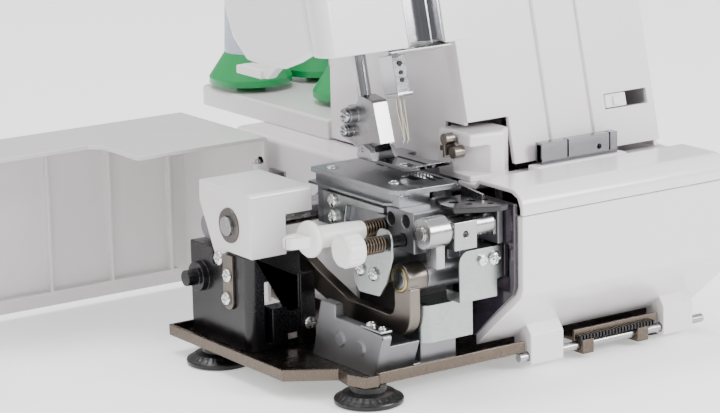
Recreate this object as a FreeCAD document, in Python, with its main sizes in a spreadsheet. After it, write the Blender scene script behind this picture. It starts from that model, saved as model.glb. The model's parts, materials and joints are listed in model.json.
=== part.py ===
import FreeCAD, Part
import math
import os
import re
import Sketcher
from FreeCAD import Placement, Rotation, Vector

# Serger overlock machine, in millimetres. X runs to the machine's right, Y to its back, Z up.
# Pieces are drawn from the centre of the front left foot; a common shift then puts the origin at the
# centre of the whole object's footprint, on the surface that it stands on.

doc = FreeCAD.newDocument("serger")
sheet = doc.addObject("Spreadsheet::Sheet", "Sizes")
aliases = []
nodes = []

# ------------------------------------------------------------------------------------------ sizes


def sizes(**values):
    """Put named sizes in the sheet, one row each."""
    for alias, value in values.items():
        aliases.append(alias)
        row = str(len(aliases))
        sheet.set("A" + row, alias.replace("_", " "))
        sheet.set("B" + row, str(value))
        sheet.setAlias("B" + row, alias)


def linked(expression):
    """The expression with each size's name pointed at its cell."""
    text = str(expression)
    return re.sub(r"[a-z_][a-z_0-9]*", lambda m: "Sizes." + m[0] if m[0] in aliases else m[0], text)


def bind(item, **targets):
    for path, expression in targets.items():
        item.setExpression(path.replace("__", "."), linked(expression))


# Base: the pressed plate, its rim and the feet
sizes(plate_z=10, plate_thick=2, rim_height=6.5, rim_wall=1.8, foot_radius=19, foot_neck=9.5)
sizes(plate_left=-34, plate_right=222, plate_back=222, plate_front=-5, plate_step_y=150)
sizes(foot_rear_x=-22.5, foot_rear_y=114, foot_right_x=204, foot_right_y=205)
# Front cover, bed and their common outline
sizes(front_y=-35, bend_y=-32.7, bend_z=50.2, chin_z=56, skirt_y=7.7, skirt_z=15.9, seam_z=96.5)
sizes(bed_z=110, cover_end_x=77.7, front_right_x=236, bed_right_x=224, skin=2.5, seam_gap=0.4)
sizes(ridge_y=4, trough_z=106.5, ridge_round=3, bed_round=10, bend_round=6, rim_face=6)
# Front cover's rod and lugs
sizes(rod_y=-4, rod_z=7.2, rod_radius=2.5, rod_gap=0.4, rod_left=98, rod_right=232, running_fit=0.05)
sizes(lug_one_x=104, lug_one_end=127, lug_two_x=200, lug_two_end=222, lug_travel=10)
# Side cover
sizes(hinge_x=48, hinge_y=179, side_depth=91, side_foot_z=4, side_lip=4, side_edge=42, tab_reach=84)
sizes(side_end_z=9.3, side_chin_z=37, knuckle_radius=4, hinge_pin_radius=2, rib_deep=4, rib_wide=2)
# Tower, panel and head
sizes(tower_left=86, tower_right=219, tower_back=158, tower_top=272, lean=0.24, panel_y=17.7)
sizes(dial_grip=17, dial_depth=8)
sizes(panel_thick=3, groove_one_x=140, groove_two_x=171, groove_wide=4, groove_deep=1.8)
sizes(head_left=-13, head_front_y=16, head_z=185, head_belly_z=171.5, head_back_y=121)
sizes(head_cover_right=42, face_depth=10, channel_right=66)
# Rear base, tray and spools
sizes(base_left=62, base_right=223, base_back=231, base_top=106, tray_left=84, tray_back=304)
sizes(tray_top=118, tray_deep=12, cone_radius=26, cone_z=121.5, spool_radius=16, spool_top=226)
# Main shaft, wheel and drive
sizes(shaft_y=99.6, shaft_z=81.9, shaft_radius=5.5, shaft_left=-25.5, wheel_radius=34)
sizes(wheel_in_x=234, wheel_face_x=256, pulley_x=196, pulley_wide=8, pulley_radius=30)
sizes(motor_y=165, motor_z=50, motor_pulley_radius=9, motor_radius=26, belt_thick=1.6)
# Needle and presser bars lean back together
sizes(bar_lean=13.5, needle_x=53, needle_y=43.2, needle_z=155, needle_bar_radius=3.2)
sizes(presser_x=54, presser_y=75.6, presser_z=144.5, presser_bar_radius=4)
sizes(foot_pin_y=66, foot_pin_z=121, foot_pin_radius=1.2)
# Needle plate
sizes(needle_plate_left=26.4, needle_plate_right=67.6, needle_plate_front=7, needle_plate_back=92)
sizes(needle_plate_tier=6.5, needle_plate_thick=3)
# Looper area
sizes(box_left=-22.6, box_right=18.5, box_front=78.5, box_back=131.5, box_top=102.5, box_low=66)
sizes(housing_right=12, housing_front=82, housing_back=142, thin=2)
sizes(cast_left=27, cast_front=-6, cast_right=66, cast_rear=19, cast_low=78)
sizes(arm_axis_y=0.8, arm_axis_z=63.8, arm_x=22, arm_thick=7, arm_shaft_radius=5)
sizes(rock_y=-17, rock_z=92, rock_shaft_radius=4)
sizes(dial_y=4.1, dial_z=84.3, dial_radius=9.3, dial_left=-14, dial_right=-1.5, stem_radius=3.4)
sizes(knob_y=21.4, knob_z=89, knob_radius=10, knob_tip_x=-38, sleeve_right=12.5)
sizes(smoke_x=74.5, smoke_thick=2.7, sheet_metal=1.2)

FAR_X = "(hinge_x - hinge_y + front_y)"
SIDE_Y = "(hinge_y + side_depth)"
CAST_TOP = "(bed_z - needle_plate_tier - needle_plate_thick)"
BRACKET_X = "14.5"
SHIFT_X = "-(" + FAR_X + " + wheel_face_x) / 2"
SHIFT_Y = "-(front_y + tray_back) / 2"

# ---------------------------------------------------------------------------------------- helpers

AXES = {"XY": (2, 0, 1), "XZ": (1, 0, 2), "YZ": (0, 1, 2)}


def settle(item, label, x="0", y="0", z="0"):
    """Name a finished sub-part and put it in the object's frame."""
    if item.TypeId in ("Part::Cylinder", "Part::Box"):
        held = doc.addObject("Part::Compound", label)
        held.Links = [item]
        item = held
    item.Label = label
    bind(item, Placement__Base__x=SHIFT_X + " + (%s)" % x)
    bind(item, Placement__Base__y=SHIFT_Y + " + (%s)" % y)
    bind(item, Placement__Base__z=z)
    nodes.append(item)
    return item


class Piece:
    """A body built from sketches on its own origin planes."""

    def __init__(self, label, x="0", y="0", z="0", whole=True):
        self.body = doc.addObject("PartDesign::Body", label)
        if whole:
            settle(self.body, label, x, y, z)
        else:
            bind(self.body, Placement__Base__x=x, Placement__Base__y=y, Placement__Base__z=z)

    def sketch(self, plane, level):
        drawn = self.body.newObject("Sketcher::SketchObject", "sketch")
        origin = [f for f in self.body.Origin.OriginFeatures if f.Role == plane + "_Plane"][0]
        drawn.AttachmentSupport = [(origin, "")]
        drawn.MapMode = "FlatFace"
        sign = "-" if plane == "XZ" else ""
        bind(drawn, AttachmentOffset__Base__z=sign + "(%s)" % level)
        return drawn

    def outline(self, drawn, points):
        """A closed outline of straight lines whose corners follow expressions."""
        count = len(points)
        start = len(drawn.Geometry)
        around = [2 * math.pi * k / count for k in range(count)]
        spots = [Vector(9 * math.cos(a), 9 * math.sin(a), 0) for a in around]
        for k in range(count):
            drawn.addGeometry(Part.LineSegment(spots[k], spots[(k + 1) % count]), False)
        for k in range(count):
            after = start + (k + 1) % count
            drawn.addConstraint(Sketcher.Constraint("Coincident", start + k, 2, after, 1))
        for k, point in enumerate(points):
            for way, expression in zip(("DistanceX", "DistanceY"), point):
                number = drawn.addConstraint(Sketcher.Constraint(way, -1, 1, start + k, 1, 1.0))
                drawn.setExpression("Constraints[%d]" % number, linked(expression))

    def circle(self, drawn, u, v, radius):
        index = drawn.addGeometry(Part.Circle(Vector(1, 1, 0), Vector(0, 0, 1), 1), False)
        for way, expression in (("DistanceX", u), ("DistanceY", v)):
            number = drawn.addConstraint(Sketcher.Constraint(way, -1, 1, index, 3, 1.0))
            drawn.setExpression("Constraints[%d]" % number, linked(expression))
        number = drawn.addConstraint(Sketcher.Constraint("Radius", index, 1.0))
        drawn.setExpression("Constraints[%d]" % number, linked(radius))

    def draw(self, plane, shapes, low, high):
        drawn = self.sketch(plane, high if plane == "XZ" else low)
        for shape in shapes:
            if len(shape) == 3 and not isinstance(shape[0], tuple):
                self.circle(drawn, *shape)
            else:
                self.outline(drawn, shape)
        self.last = drawn
        return drawn

    def grow(self, plane, shapes, low, high):
        """Add the shapes, each an outline or a circle, from one level to another."""
        drawn = self.draw(plane, shapes, low, high)
        pad = self.body.newObject("PartDesign::Pad", "pad")
        pad.Profile = drawn
        bind(pad, Length="(%s) - (%s)" % (high, low))
        doc.recompute()
        return self

    def cut(self, plane, shapes, low, high):
        before = self.body.Tip.Shape.Volume
        drawn = self.draw(plane, shapes, low, high)
        pocket = self.body.newObject("PartDesign::Pocket", "pocket")
        pocket.Profile = drawn
        pocket.Reversed = True
        bind(pocket, Length="(%s) - (%s)" % (high, low))
        doc.recompute()
        if not pocket.Shape.Volume < before - 1e-3:
            raise ValueError(self.body.Label + ": a pocket removes nothing")
        return self

    def spin(self, axis, points):
        """Turn an outline given as (distance along the axis, radius) about the X or Z axis."""
        drawn = self.sketch("XZ", "0")
        across = points if axis == "X" else [(radius, along) for along, radius in points]
        self.outline(drawn, across)
        turned = self.body.newObject("PartDesign::Revolution", "turned")
        turned.Profile = drawn
        turned.ReferenceAxis = (drawn, ["H_Axis" if axis == "X" else "V_Axis"])
        turned.Angle = 360
        doc.recompute()
        return self

    def soften(self, radius, edges):
        """Round the named edges of the solid so far."""
        tip = self.body.Tip
        rounded = self.body.newObject("PartDesign::Fillet", "rounded")
        rounded.Base = (tip, edges)
        bind(rounded, Radius=radius)
        doc.recompute()
        return self

    def corners(self, radius, numbers, plane):
        """Round the edges that run through the chosen corners of the last outline."""
        places = [self.last.Geometry[n].StartPoint for n in numbers]
        along, first, second = AXES[plane]
        chosen = []
        for number, edge in enumerate(self.body.Tip.Shape.Edges, 1):
            one, two = edge.firstVertex().Point, edge.lastVertex().Point
            straight = abs(one[first] - two[first]) + abs(one[second] - two[second]) < 1e-4
            if not straight or edge.Length < 1e-4:
                continue
            if any(abs(one[first] - p.x) + abs(one[second] - p.y) < 1e-3 for p in places):
                chosen.append("Edge%d" % number)
        return self.soften(radius, chosen)

    def rims(self, radius, axis, end):
        """Round every edge that lies in the solid's lowest or highest plane along an axis."""
        box = self.body.Tip.Shape.BoundBox
        limits = {0: (box.XMin, box.XMax), 1: (box.YMin, box.YMax), 2: (box.ZMin, box.ZMax)}
        level = limits["XYZ".index(axis)][end]
        chosen = []
        for number, edge in enumerate(self.body.Tip.Shape.Edges, 1):
            span = edge.BoundBox
            lows = (span.XMin, span.YMin, span.ZMin)["XYZ".index(axis)]
            highs = (span.XMax, span.YMax, span.ZMax)["XYZ".index(axis)]
            if abs(lows - level) < 1e-3 and abs(highs - level) < 1e-3:
                chosen.append("Edge%d" % number)
        return self.soften(radius, chosen)


def square(u_low, u_high, v_low, v_high):
    return [(u_low, v_low), (u_high, v_low), (u_high, v_high), (u_low, v_high)]


def block(x, y, z):
    """A box from three pairs of levels."""
    item = doc.addObject("Part::Box", "block")
    for side, pair in zip(("Length", "Width", "Height"), (x, y, z)):
        bind(item, **{side: "(%s) - (%s)" % (pair[1], pair[0])})
    bind(item, Placement__Base__x=x[0], Placement__Base__y=y[0], Placement__Base__z=z[0])
    return item


TURNS = {
    "X": Rotation(Vector(0, 1, 0), 90),
    "Y": Rotation(Vector(1, 0, 0), -90),
    "Z": Rotation(),
}


def rod(axis, x, y, z, length, radius):
    """A cylinder that starts at a point and runs along an axis."""
    item = doc.addObject("Part::Cylinder", "rod")
    item.Placement = Placement(Vector(0, 0, 0), TURNS[axis])
    bind(item, Radius=radius, Height=length)
    bind(item, Placement__Base__x=x, Placement__Base__y=y, Placement__Base__z=z)
    return item


def together(*items):
    item = doc.addObject("Part::MultiFuse", "together")
    item.Shapes = list(items)
    return item


def less(base, *tools):
    item = doc.addObject("Part::Cut", "less")
    item.Base = base
    item.Tool = together(*tools) if len(tools) > 1 else tools[0]
    return item


def ring(axis, x, y, z, length, outer, inner):
    return less(rod(axis, x, y, z, length, outer), rod(axis, x, y, z, length, inner))


def group(label, items):
    """Separate solids of one kind that share a node."""
    return settle(together(*items), label)


# ------------------------------------------------------------------------------------------- base

RIM_TOP = "plate_z + rim_height"
FLOOR = "plate_z + plate_thick"


def plate_outline(inset):
    """The base plate's outline, drawn in by a distance on every side."""
    near, far = "+ (%s)" % inset, "- (%s)" % inset
    return [
        ("plate_left" + near, "32" + near),
        ("-9" + near, "15.5" + near),
        ("-11" + near, "4"),
        ("-7" + near, "-7" + near),
        ("3" + far, "-9" + near),
        ("3.5" + far, "plate_front" + near),
        ("plate_right" + far, "plate_front" + near),
        ("plate_right" + far, "plate_back" + far),
        ("base_left - 2" + near, "plate_back" + far),
        ("base_left - 9" + near, "plate_step_y" + far),
        ("plate_left" + near, "plate_step_y" + far),
    ]


def make_base_plate():
    plate = Piece("base_sheet", whole=False).grow("XY", [plate_outline("0")], "plate_z", RIM_TOP)
    plate.corners("3.5", [2, 3, 4], "XY")
    plate.cut("XY", [plate_outline("rim_wall")], FLOOR, RIM_TOP)
    for start, end in (("lug_one_x", "lug_one_end"), ("lug_two_x", "lug_two_end")):
        gap = square(start + " - 2", end + " + lug_travel", "plate_front - 1", "skirt_y + 2")
        if start == "lug_two_x":
            gap = square(start + " - 2", "plate_right + 1", "plate_front - 1", "skirt_y + 2")
        plate.cut("XY", [gap], "plate_z - 1", RIM_TOP + " + 1")
    ears = []
    for x in ("140", "180"):
        ear = block((x, x + " + 8"), ("-9", "1"), ("2.8", "plate_z + 1"))
        ears.append(less(ear, rod("X", x, "rod_y", "rod_z", "8", "rod_radius + running_fit")))
    relief = rod("X", "rod_left - 1", "rod_y", "rod_z", "rod_right - rod_left + lug_travel + 2", "rod_radius + rod_gap")
    settle(together(less(plate.body, relief), *ears), "base_plate")


def make_feet():
    places = [("0", "0"), ("foot_rear_x", "foot_rear_y")]
    places += [("foot_right_x", "0 + 22"), ("foot_right_x", "foot_right_y")]
    feet = []
    for x, y in places:
        pad = rod("Z", x, y, "0", "3", "foot_radius")
        dome = doc.addObject("Part::Cone", "dome")
        bind(dome, Radius1="foot_radius", Radius2="foot_neck + 2", Height="3.5")
        bind(dome, Placement__Base__x=x, Placement__Base__y=y, Placement__Base__z="3")
        neck = rod("Z", x, y, "6.5", "plate_z - 6.5", "foot_neck")
        feet.append(together(pad, dome, neck))
    group("rubber_feet", feet)


def make_chassis():
    """Cast frame: two bearing walls in the tower, cross bars and the arm that holds both bars."""
    walls = [block((x, x + " + 5"), ("50", "150"), (FLOOR, "220")) for x in ("89", "206")]
    panel_head = "panel_y + lean * (tower_top - bed_z) + panel_thick + 6.4"
    walls += [block((x, x + " + 5"), (panel_head, "150"), ("220", "tower_top - skin")) for x in ("89", "206")]
    walls += [block((x, x + " + 5"), ("53.5", "66"), ("226", "244")) for x in ("89", "206")]
    low = block(("94", "206"), ("52", "62"), (FLOOR, "30"))
    top = block(("94", "206"), ("70", "140"), ("252", "262"))
    spine = block(("72", "89"), ("58", "112"), ("206", "250"))
    shelves = [block(("44", "80"), ("48", "112"), (z, z + " + 9")) for z in ("206", "241")]
    ear = block(("37", "50"), ("94", "104"), ("184", "207"))
    dial_axle = rod("X", "92", lean_y("235") + " + dial_depth", "235", "116", "2.5")
    rock_shaft = rod("X", "-16", "134", "74", "106", "7")
    bores = [rod("X", "86", "shaft_y", "shaft_z", "130", "11"), rod("X", "36", "99", "189", "11", "2.5 + running_fit")]
    for name, radius in (("needle", "needle_bar_radius"), ("presser", "presser_bar_radius")):
        bores.append(leaning_rod(name, "30", "110", radius + " + running_fit"))
    frame = less(together(low, top, spine, ear, *walls, *shelves), *bores)
    settle(together(frame, dial_axle, rock_shaft), "chassis")


def leaning_rod(name, start, end, radius):
    """A rod on the needle bar's or presser bar's leaning axis, by distances along that axis."""
    item = doc.addObject("Part::Cylinder", "leaning_rod")
    item.Placement = Placement(Vector(0, 0, 0), Rotation(Vector(-1, 0, 0), 13.5))
    bind(item, Radius=radius, Height="(%s) - (%s)" % (end, start), Placement__Rotation__Angle="bar_lean")
    bind(item, Placement__Base__x=name + "_x")
    bind(item, Placement__Base__y="%s_y + sin(bar_lean * 1 deg) * (%s)" % (name, start))
    bind(item, Placement__Base__z="%s_z + cos(bar_lean * 1 deg) * (%s)" % (name, start))
    return item


def leaning_block(name, x, across, along):
    """A box square to a leaning axis: across it in front and behind, and along it."""
    item = doc.addObject("Part::Box", "leaning_block")
    item.Placement = Placement(Vector(0, 0, 0), Rotation(Vector(-1, 0, 0), 13.5))
    bind(item, Placement__Rotation__Angle="bar_lean")
    for side, pair in zip(("Length", "Width", "Height"), (x, across, along)):
        bind(item, **{side: "(%s) - (%s)" % (pair[1], pair[0])})
    turn, rise = "sin(bar_lean * 1 deg)", "cos(bar_lean * 1 deg)"
    bind(item, Placement__Base__x=name + "_x + (%s)" % x[0])
    bind(item, Placement__Base__y="%s_y + %s * (%s) + %s * (%s)" % (name, rise, across[0], turn, along[0]))
    bind(item, Placement__Base__z="%s_z - %s * (%s) + %s * (%s)" % (name, turn, across[0], rise, along[0]))
    return item


def make_base():
    make_base_plate()
    make_feet()
    make_chassis()


# ----------------------------------------------------------------------------------------- covers


def cover_outline(inset, top):
    """Front outline in Y and Z, from the skirt over the bend to a top level, drawn in by a distance."""
    return [
        ("skirt_y", "skirt_z + 1.3 * (%s)" % inset),
        ("bend_y + 0.9 * (%s)" % inset, "bend_z + 0.55 * (%s)" % inset),
        ("front_y + (%s)" % inset, "chin_z + 0.2 * (%s)" % inset),
        ("front_y + (%s)" % inset, top),
    ]


def make_front_cover():
    outer = cover_outline("0", "seam_z - seam_gap")
    cover = Piece("front_cover")
    cover.grow("YZ", [outer + cover_outline("skin", "seam_z - seam_gap")[::-1]], "cover_end_x", "front_right_x")
    rim = outer + cover_outline("rim_face", "seam_z - seam_gap")[::-1]
    cover.grow("YZ", [rim], "cover_end_x", "cover_end_x + skin")
    end = outer + [("skirt_y", "seam_z - seam_gap")]
    cover.grow("YZ", [end], "front_right_x - skin", "front_right_x")
    lug = [("-8", "3"), ("1", "3"), ("skirt_y", "13"), ("skirt_y", "18"), ("-3", "26"), ("-8", "20")]
    for start, stop in (("lug_one_x", "lug_one_end"), ("lug_two_x", "lug_two_end")):
        cover.grow("YZ", [lug], start, stop)
    cover.cut("YZ", [("rod_y", "rod_z", "rod_radius + running_fit")], "lug_one_x - 1", "lug_two_end + 1")


def make_front_hinge():
    shaft = rod("X", "rod_left", "rod_y", "rod_z", "rod_right - rod_left", "rod_radius")
    settle(shaft, "front_cover_rod")


def make_bed():
    end = [("front_y", "seam_z"), ("front_y", "bed_z"), ("ridge_y", "bed_z"), ("ridge_y + 3.5", "trough_z")]
    end += [("panel_y + 5", "trough_z"), ("panel_y + 5", "seam_z")]
    bed = Piece("bed_top").grow("YZ", [end], "cover_end_x", "bed_right_x")
    bed.corners("bed_round", [1], "YZ")
    hollow = [("front_y + skin", "seam_z - 1"), ("front_y + skin", "bed_z - bed_round"),
              ("front_y + skin + 2.2", "bed_z - skin - 2.2"), ("front_y + bed_round", "bed_z - skin"),
              ("ridge_y - 1", "bed_z - skin"), ("ridge_y + 2.5", "trough_z - skin"),
              ("panel_y + 6", "trough_z - skin"), ("panel_y + 6", "seam_z - 1")]
    bed.cut("YZ", [hollow], "cover_end_x - 1", "bed_right_x - skin")
    bed.grow("YZ", [square("ridge_y + 4", "panel_y - 0.8", "trough_z - 1", "bed_z - 0.2")], "122", "186")
    smoke = cover_outline("3.8", "bed_z - 7")
    inside = [("2", "bed_z - 7"), ("2", "bed_z - 16"), ("8", "bed_z - 20"), ("8", "60"), ("skirt_y + 4", "skirt_z + 16")]
    wall = smoke + inside
    end_wall = Piece("smoke_end_wall").grow("YZ", [wall], "smoke_x", "smoke_x + smoke_thick")
    end_wall.cut("YZ", [square("front_y + 8", "front_y + 12", "62", "80")], "smoke_x", "smoke_x + smoke_thick")


def make_side_cover():
    """Side cover as it stands open: its long wall runs across at the back, hinged at its right end."""
    near_y = "hinge_y - knuckle_radius"
    end_x = "(hinge_x + knuckle_radius)"
    step_x = "(hinge_x - tab_reach)"
    edge_y = "(hinge_y + side_edge)"
    lip_y = "(hinge_y - cover_end_x + hinge_x + 0.8)"
    cover = Piece("side_cover")
    top = [
        (FAR_X, lip_y),
        (FAR_X + " + 17", lip_y),
        (FAR_X + " + 17", edge_y + " - 10"),
        (FAR_X + " + 27", edge_y),
        (step_x + " - 6", edge_y),
        (step_x, edge_y + " - 7"),
        (step_x, near_y),
        (end_x, near_y),
        (end_x, SIDE_Y),
        (FAR_X, SIDE_Y),
    ]
    cover.grow("XY", [top], "bed_z - skin", "bed_z")
    cover.corners("4", [5], "XY")
    cover.grow("XY", [square(FAR_X, end_x, SIDE_Y + " - skin", SIDE_Y)], "side_foot_z", "bed_z - skin")
    cover.grow("XY", [square(end_x + " - skin", end_x, near_y, SIDE_Y + " - skin")], "side_end_z", "bed_z - skin")
    chin_y = "(bend_y + (bend_z - side_chin_z) * (skirt_y - bend_y) / (bend_z - skirt_z))"
    far = [
        (FAR_X + " - front_y + " + chin_y, "side_chin_z"),
        (FAR_X + " - front_y + bend_y", "bend_z"),
        (FAR_X, "chin_z"),
        (FAR_X, "bed_z - skin"),
        (FAR_X + " + skin", "bed_z - skin"),
        (FAR_X + " + skin", "chin_z + 0.5"),
        (FAR_X + " - front_y + bend_y + 2.3", "bend_z + 1.4"),
        (FAR_X + " - front_y + " + chin_y, "side_chin_z + 3.3"),
    ]
    cover.grow("XZ", [far], lip_y, SIDE_Y + " - skin")
    cover.grow("XY", [square(FAR_X + " + 22", "hinge_x - 6", SIDE_Y + " - skin - side_lip", SIDE_Y + " - skin")], "12", "14")
    ribs = [square(x, x + " + rib_wide", SIDE_Y + " - skin - rib_deep", SIDE_Y + " - skin") for x in
            ("hinge_x - 180", "hinge_x - 138", "hinge_x - 96", "hinge_x - 54", "hinge_x - 12")]
    cover.grow("XY", ribs, "14", "bed_z - skin")
    cover.cut("XY", [("hinge_x", "hinge_y", "hinge_pin_radius + 0.5")], "27", "97")
    for low, high in (("30", "40"), ("84", "94")):
        cover.grow("XY", [("hinge_x", "hinge_y", "knuckle_radius")], low, high)
        cover.cut("XY", [("hinge_x", "hinge_y", "hinge_pin_radius + running_fit")], low, high)
    for low, high in (("40", "45"), ("79", "84")):
        cover.cut("XY", [square(end_x + " - skin - 1", end_x + " + 1", near_y + " - 1", "hinge_y + 10")], low, high)
    rise = cover.body.Tip.Shape
    chosen = ["Edge%d" % n for n, e in enumerate(rise.Edges, 1)
              if abs(e.BoundBox.ZMin - rise.BoundBox.ZMax) < 1e-3
              and abs(e.BoundBox.XMin - rise.BoundBox.XMax) < 1e-3]
    cover.soften("2.2", chosen)


def make_side_hinge():
    parts = [rod("Z", "hinge_x", "hinge_y", "28", "68", "hinge_pin_radius")]
    for low in ("40.5", "80"):
        parts.append(rod("Z", "hinge_x", "hinge_y", low, "3.5", "knuckle_radius"))
        parts.append(block(("hinge_x", "base_left"), ("hinge_y - 3", "hinge_y + 3"), (low, low + " + 3.5")))
        parts.append(block(("base_left - 1.5", "base_left"), ("hinge_y - 8", "hinge_y + 8"), (low + " - 4", low + " + 8")))
    settle(together(*parts), "side_hinge")


def lean_y(z, start="panel_y", base="bed_z"):
    """Y of the leaning front at a height."""
    return "%s + lean * ((%s) - (%s))" % (start, z, base)


def make_tower():
    low, high = "bed_z - 3", "tower_top"
    front = lambda z, deep: (lean_y(z) + " + (%s)" % deep, z)
    case = Piece("tower_case")
    case.grow("YZ", [[front(low, "panel_thick"), ("tower_back", low), ("tower_back", high), front(high, "panel_thick")]],
              "tower_left", "tower_right")
    case.corners("6", [2], "YZ")
    inner = [front(low + " - 1", "panel_thick - 1"), ("tower_back - skin", low + " - 1"),
             ("tower_back - skin", high + " - skin"), front(high + " - skin", "panel_thick - 1")]
    case.cut("YZ", [inner], "tower_left + skin", "tower_right - skin")
    case.cut("YZ", [square("46", "114", "204", "252")], "tower_left", "tower_left + skin")
    case.cut("YZ", [square("0", "45", "bed_z - 4", "bed_z + 25")], "tower_left", "tower_left + skin")
    panel = Piece("tension_panel")
    panel.grow("YZ", [[front("bed_z + 1", "0"), front("bed_z + 1", "panel_thick"), front(high, "panel_thick"), front(high, "0")]],
               "tower_left", "tower_right")
    panel.cut("XZ", [square("tower_left - 1", "tower_left + 28", "bed_z", "bed_z + 27")], "0", "60")
    for x in ("groove_one_x", "groove_two_x"):
        strip = [front("bed_z", "0 - 1"), front("bed_z", "groove_deep"), front(high + " + 1", "groove_deep"), front(high + " + 1", "0 - 1")]
        panel.cut("YZ", [strip], x + " - groove_wide / 2", x + " + groove_wide / 2")
    panel.cut("XZ", [square("183", "214", "132", "140.6")], "0", "60")
    for x in DIALS:
        panel.cut("XZ", [square(x + " - 5", x + " + 5", "216.5", "253.5")], "20", "90")


DIALS = ("101", "122", "148", "179")


def make_head():
    def front(z, deep):
        return (lean_y(z, "head_front_y", "head_z") + " + (%s)" % deep, z)

    top = "tower_top"
    belly = [("39", "179"), ("56", "head_belly_z + 1.5"), ("74", "head_belly_z"), ("95", "173"), ("109", "184"), ("118", "204")]
    rest = [("head_back_y", "230"), ("head_back_y", top)]
    cover = Piece("head_cover")
    cover.grow("YZ", [[front("head_z", "face_depth")] + belly + rest + [front(top, "face_depth")]], "head_left", "tower_left")
    cover.corners("10", [5, 6], "YZ")
    cover.corners("6", [8], "YZ")
    cover.rims("6", "X", 0)
    inner = [front("head_z - 20", "face_depth - 1"), ("88", "head_z - 20"), ("97", "175.5"), ("107", "186"),
             ("115.5", "205"), ("head_back_y - skin", "230"), ("head_back_y - skin", top + " - skin"),
             front(top + " - skin", "face_depth - 1")]
    cover.cut("YZ", [inner], "head_left + skin", "tower_left - skin")
    cover.cut("YZ", [square("46", "114", "204", "252")], "tower_left - skin", "tower_left")
    cover.cut("XY", [square("24", "38", "93", "head_back_y + 1")], "160", "214")
    backing = [front("head_z", "face_depth - 1"), front("head_z", "face_depth + 1.5"),
               front(top, "face_depth + 1.5"), front(top, "face_depth - 1")]
    cover.grow("YZ", [backing], "head_cover_right + 0.5", "tower_left")
    beside = [front("head_z", "1"), front("head_z", "face_depth"), front(top, "face_depth"), front(top, "1")]
    cover.grow("YZ", [beside], "channel_right + 0.5", "tower_left")
    shell = [front("head_z", "0"), front("head_z", "face_depth"), front(top, "face_depth"), front(top, "0")]
    face = Piece("head_front_cover").grow("YZ", [shell], "head_left", "head_cover_right")
    chosen = []
    for number, edge in enumerate(face.body.Tip.Shape.Edges, 1):
        span = edge.BoundBox
        if abs(span.XMax - face.body.Tip.Shape.BoundBox.XMin) < 1e-3 and span.ZLength > 50 and span.YMin < face_front():
            chosen.append("Edge%d" % number)
    face.soften("8.5", chosen)
    hollow = [front("head_z - 1", "skin"), front("head_z - 1", "face_depth + 1"),
              front(top + " - skin", "face_depth + 1"), front(top + " - skin", "skin")]
    face.cut("YZ", [hollow], "head_left + 9", "head_cover_right - skin")


def face_front():
    """Y of the head's front at its lower edge, with a little room for picking its edges."""
    return sheet.get("head_front_y") + 1


def make_channel():
    """Bright channel beside the head cover that leads the threads down, folded from one sheet."""
    def front(z, deep):
        return (lean_y(z, "head_front_y", "head_z") + " + (%s)" % deep, z)

    def strip(low, high, near, far):
        return [front(low, near), front(low, far), front(high, far), front(high, near)]

    top = "tower_top - 6"
    channel = Piece("thread_channel")
    channel.grow("YZ", [strip("head_z + 1", top, "face_depth - 2.2", "face_depth - 1")], "head_cover_right + 0.5", "channel_right")
    for left, right in (("head_cover_right + 0.5", "head_cover_right + 2"), ("channel_right - 9", "channel_right - 7.8"),
                        ("channel_right - 1.2", "channel_right")):
        channel.grow("YZ", [strip("head_z + 1", top, "1", "face_depth - 1")], left, right)


def make_rear():
    """Rear base cover with the raised tray for the spools."""
    top, skin = "base_top", "skin"
    cover = Piece("rear_cover", whole=False)
    cover.grow("XY", [square("base_left", "base_right + 0.3", "100", "base_back")], RIM_TOP, top)
    cover.soften("8", vertical_edges(cover, ("min", "max")))
    cover.rims("3", "Z", 1)
    cover.cut("XY", [square("base_left + skin", "base_right + 1", "99", "base_back - skin")], "13", top + " - skin")
    cover.cut("XY", [square("88", "214", "99", "153")], "60", top + " + 1")
    cover.cut("YZ", [square("98", "109", "68", "94"), ("134", "74", "8.5")], "base_left - 1", "base_left + skin + 1")
    wall = right_wall()
    outer = "base_right + 0.3 + skin"
    socket = less(block((outer + " - 14", outer + " + 1.5"), ("203.6", "224.4"), ("39.6", "62.4")),
                  block((outer + " - 10", outer + " + 2"), ("206", "222"), ("42", "60")))
    settle(together(cover.body, wall.body, socket), "base_cover")
    tray = Piece("tray", whole=False)
    low = "tray_top - tray_deep"
    tray.grow("XY", [square("tray_left", "214", "tower_back + 0.5", "tray_back")], low, "tray_top")
    tray.soften("8", vertical_edges(tray, ("min", "max"), ("max", "max")))
    tray.rims("2", "Z", 1)
    tray.cut("XY", [square("tray_left + skin", "214 - skin", "tower_back + 3", "tray_back - skin")], low + " - 1", "tray_top - skin")
    posts = [rod("Z", x, y, "tray_top - 1", "71", "2.8") for x, y in CONES]
    tube = ring("Z", *MAST, "tray_top - 1", "141", "5", "3.4 + running_fit")
    collar = ring("Z", *MAST, "tray_top - 1", "6", "9", "3.4 + running_fit")
    settle(together(tray.body, tube, collar, *posts), "spool_tray")


def vertical_edges(piece, *corners):
    """Vertical edges at chosen corners of the solid's box."""
    box = piece.body.Tip.Shape.BoundBox
    sides = {"min": (box.XMin, box.YMin), "max": (box.XMax, box.YMax)}
    chosen = []
    for number, edge in enumerate(piece.body.Tip.Shape.Edges, 1):
        span = edge.BoundBox
        if span.XLength + span.YLength > 1e-3:
            continue
        for across, back in corners:
            if abs(span.XMin - sides[across][0]) < 1e-3 and abs(span.YMin - sides[back][1]) < 1e-3:
                chosen.append("Edge%d" % number)
    return chosen


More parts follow.
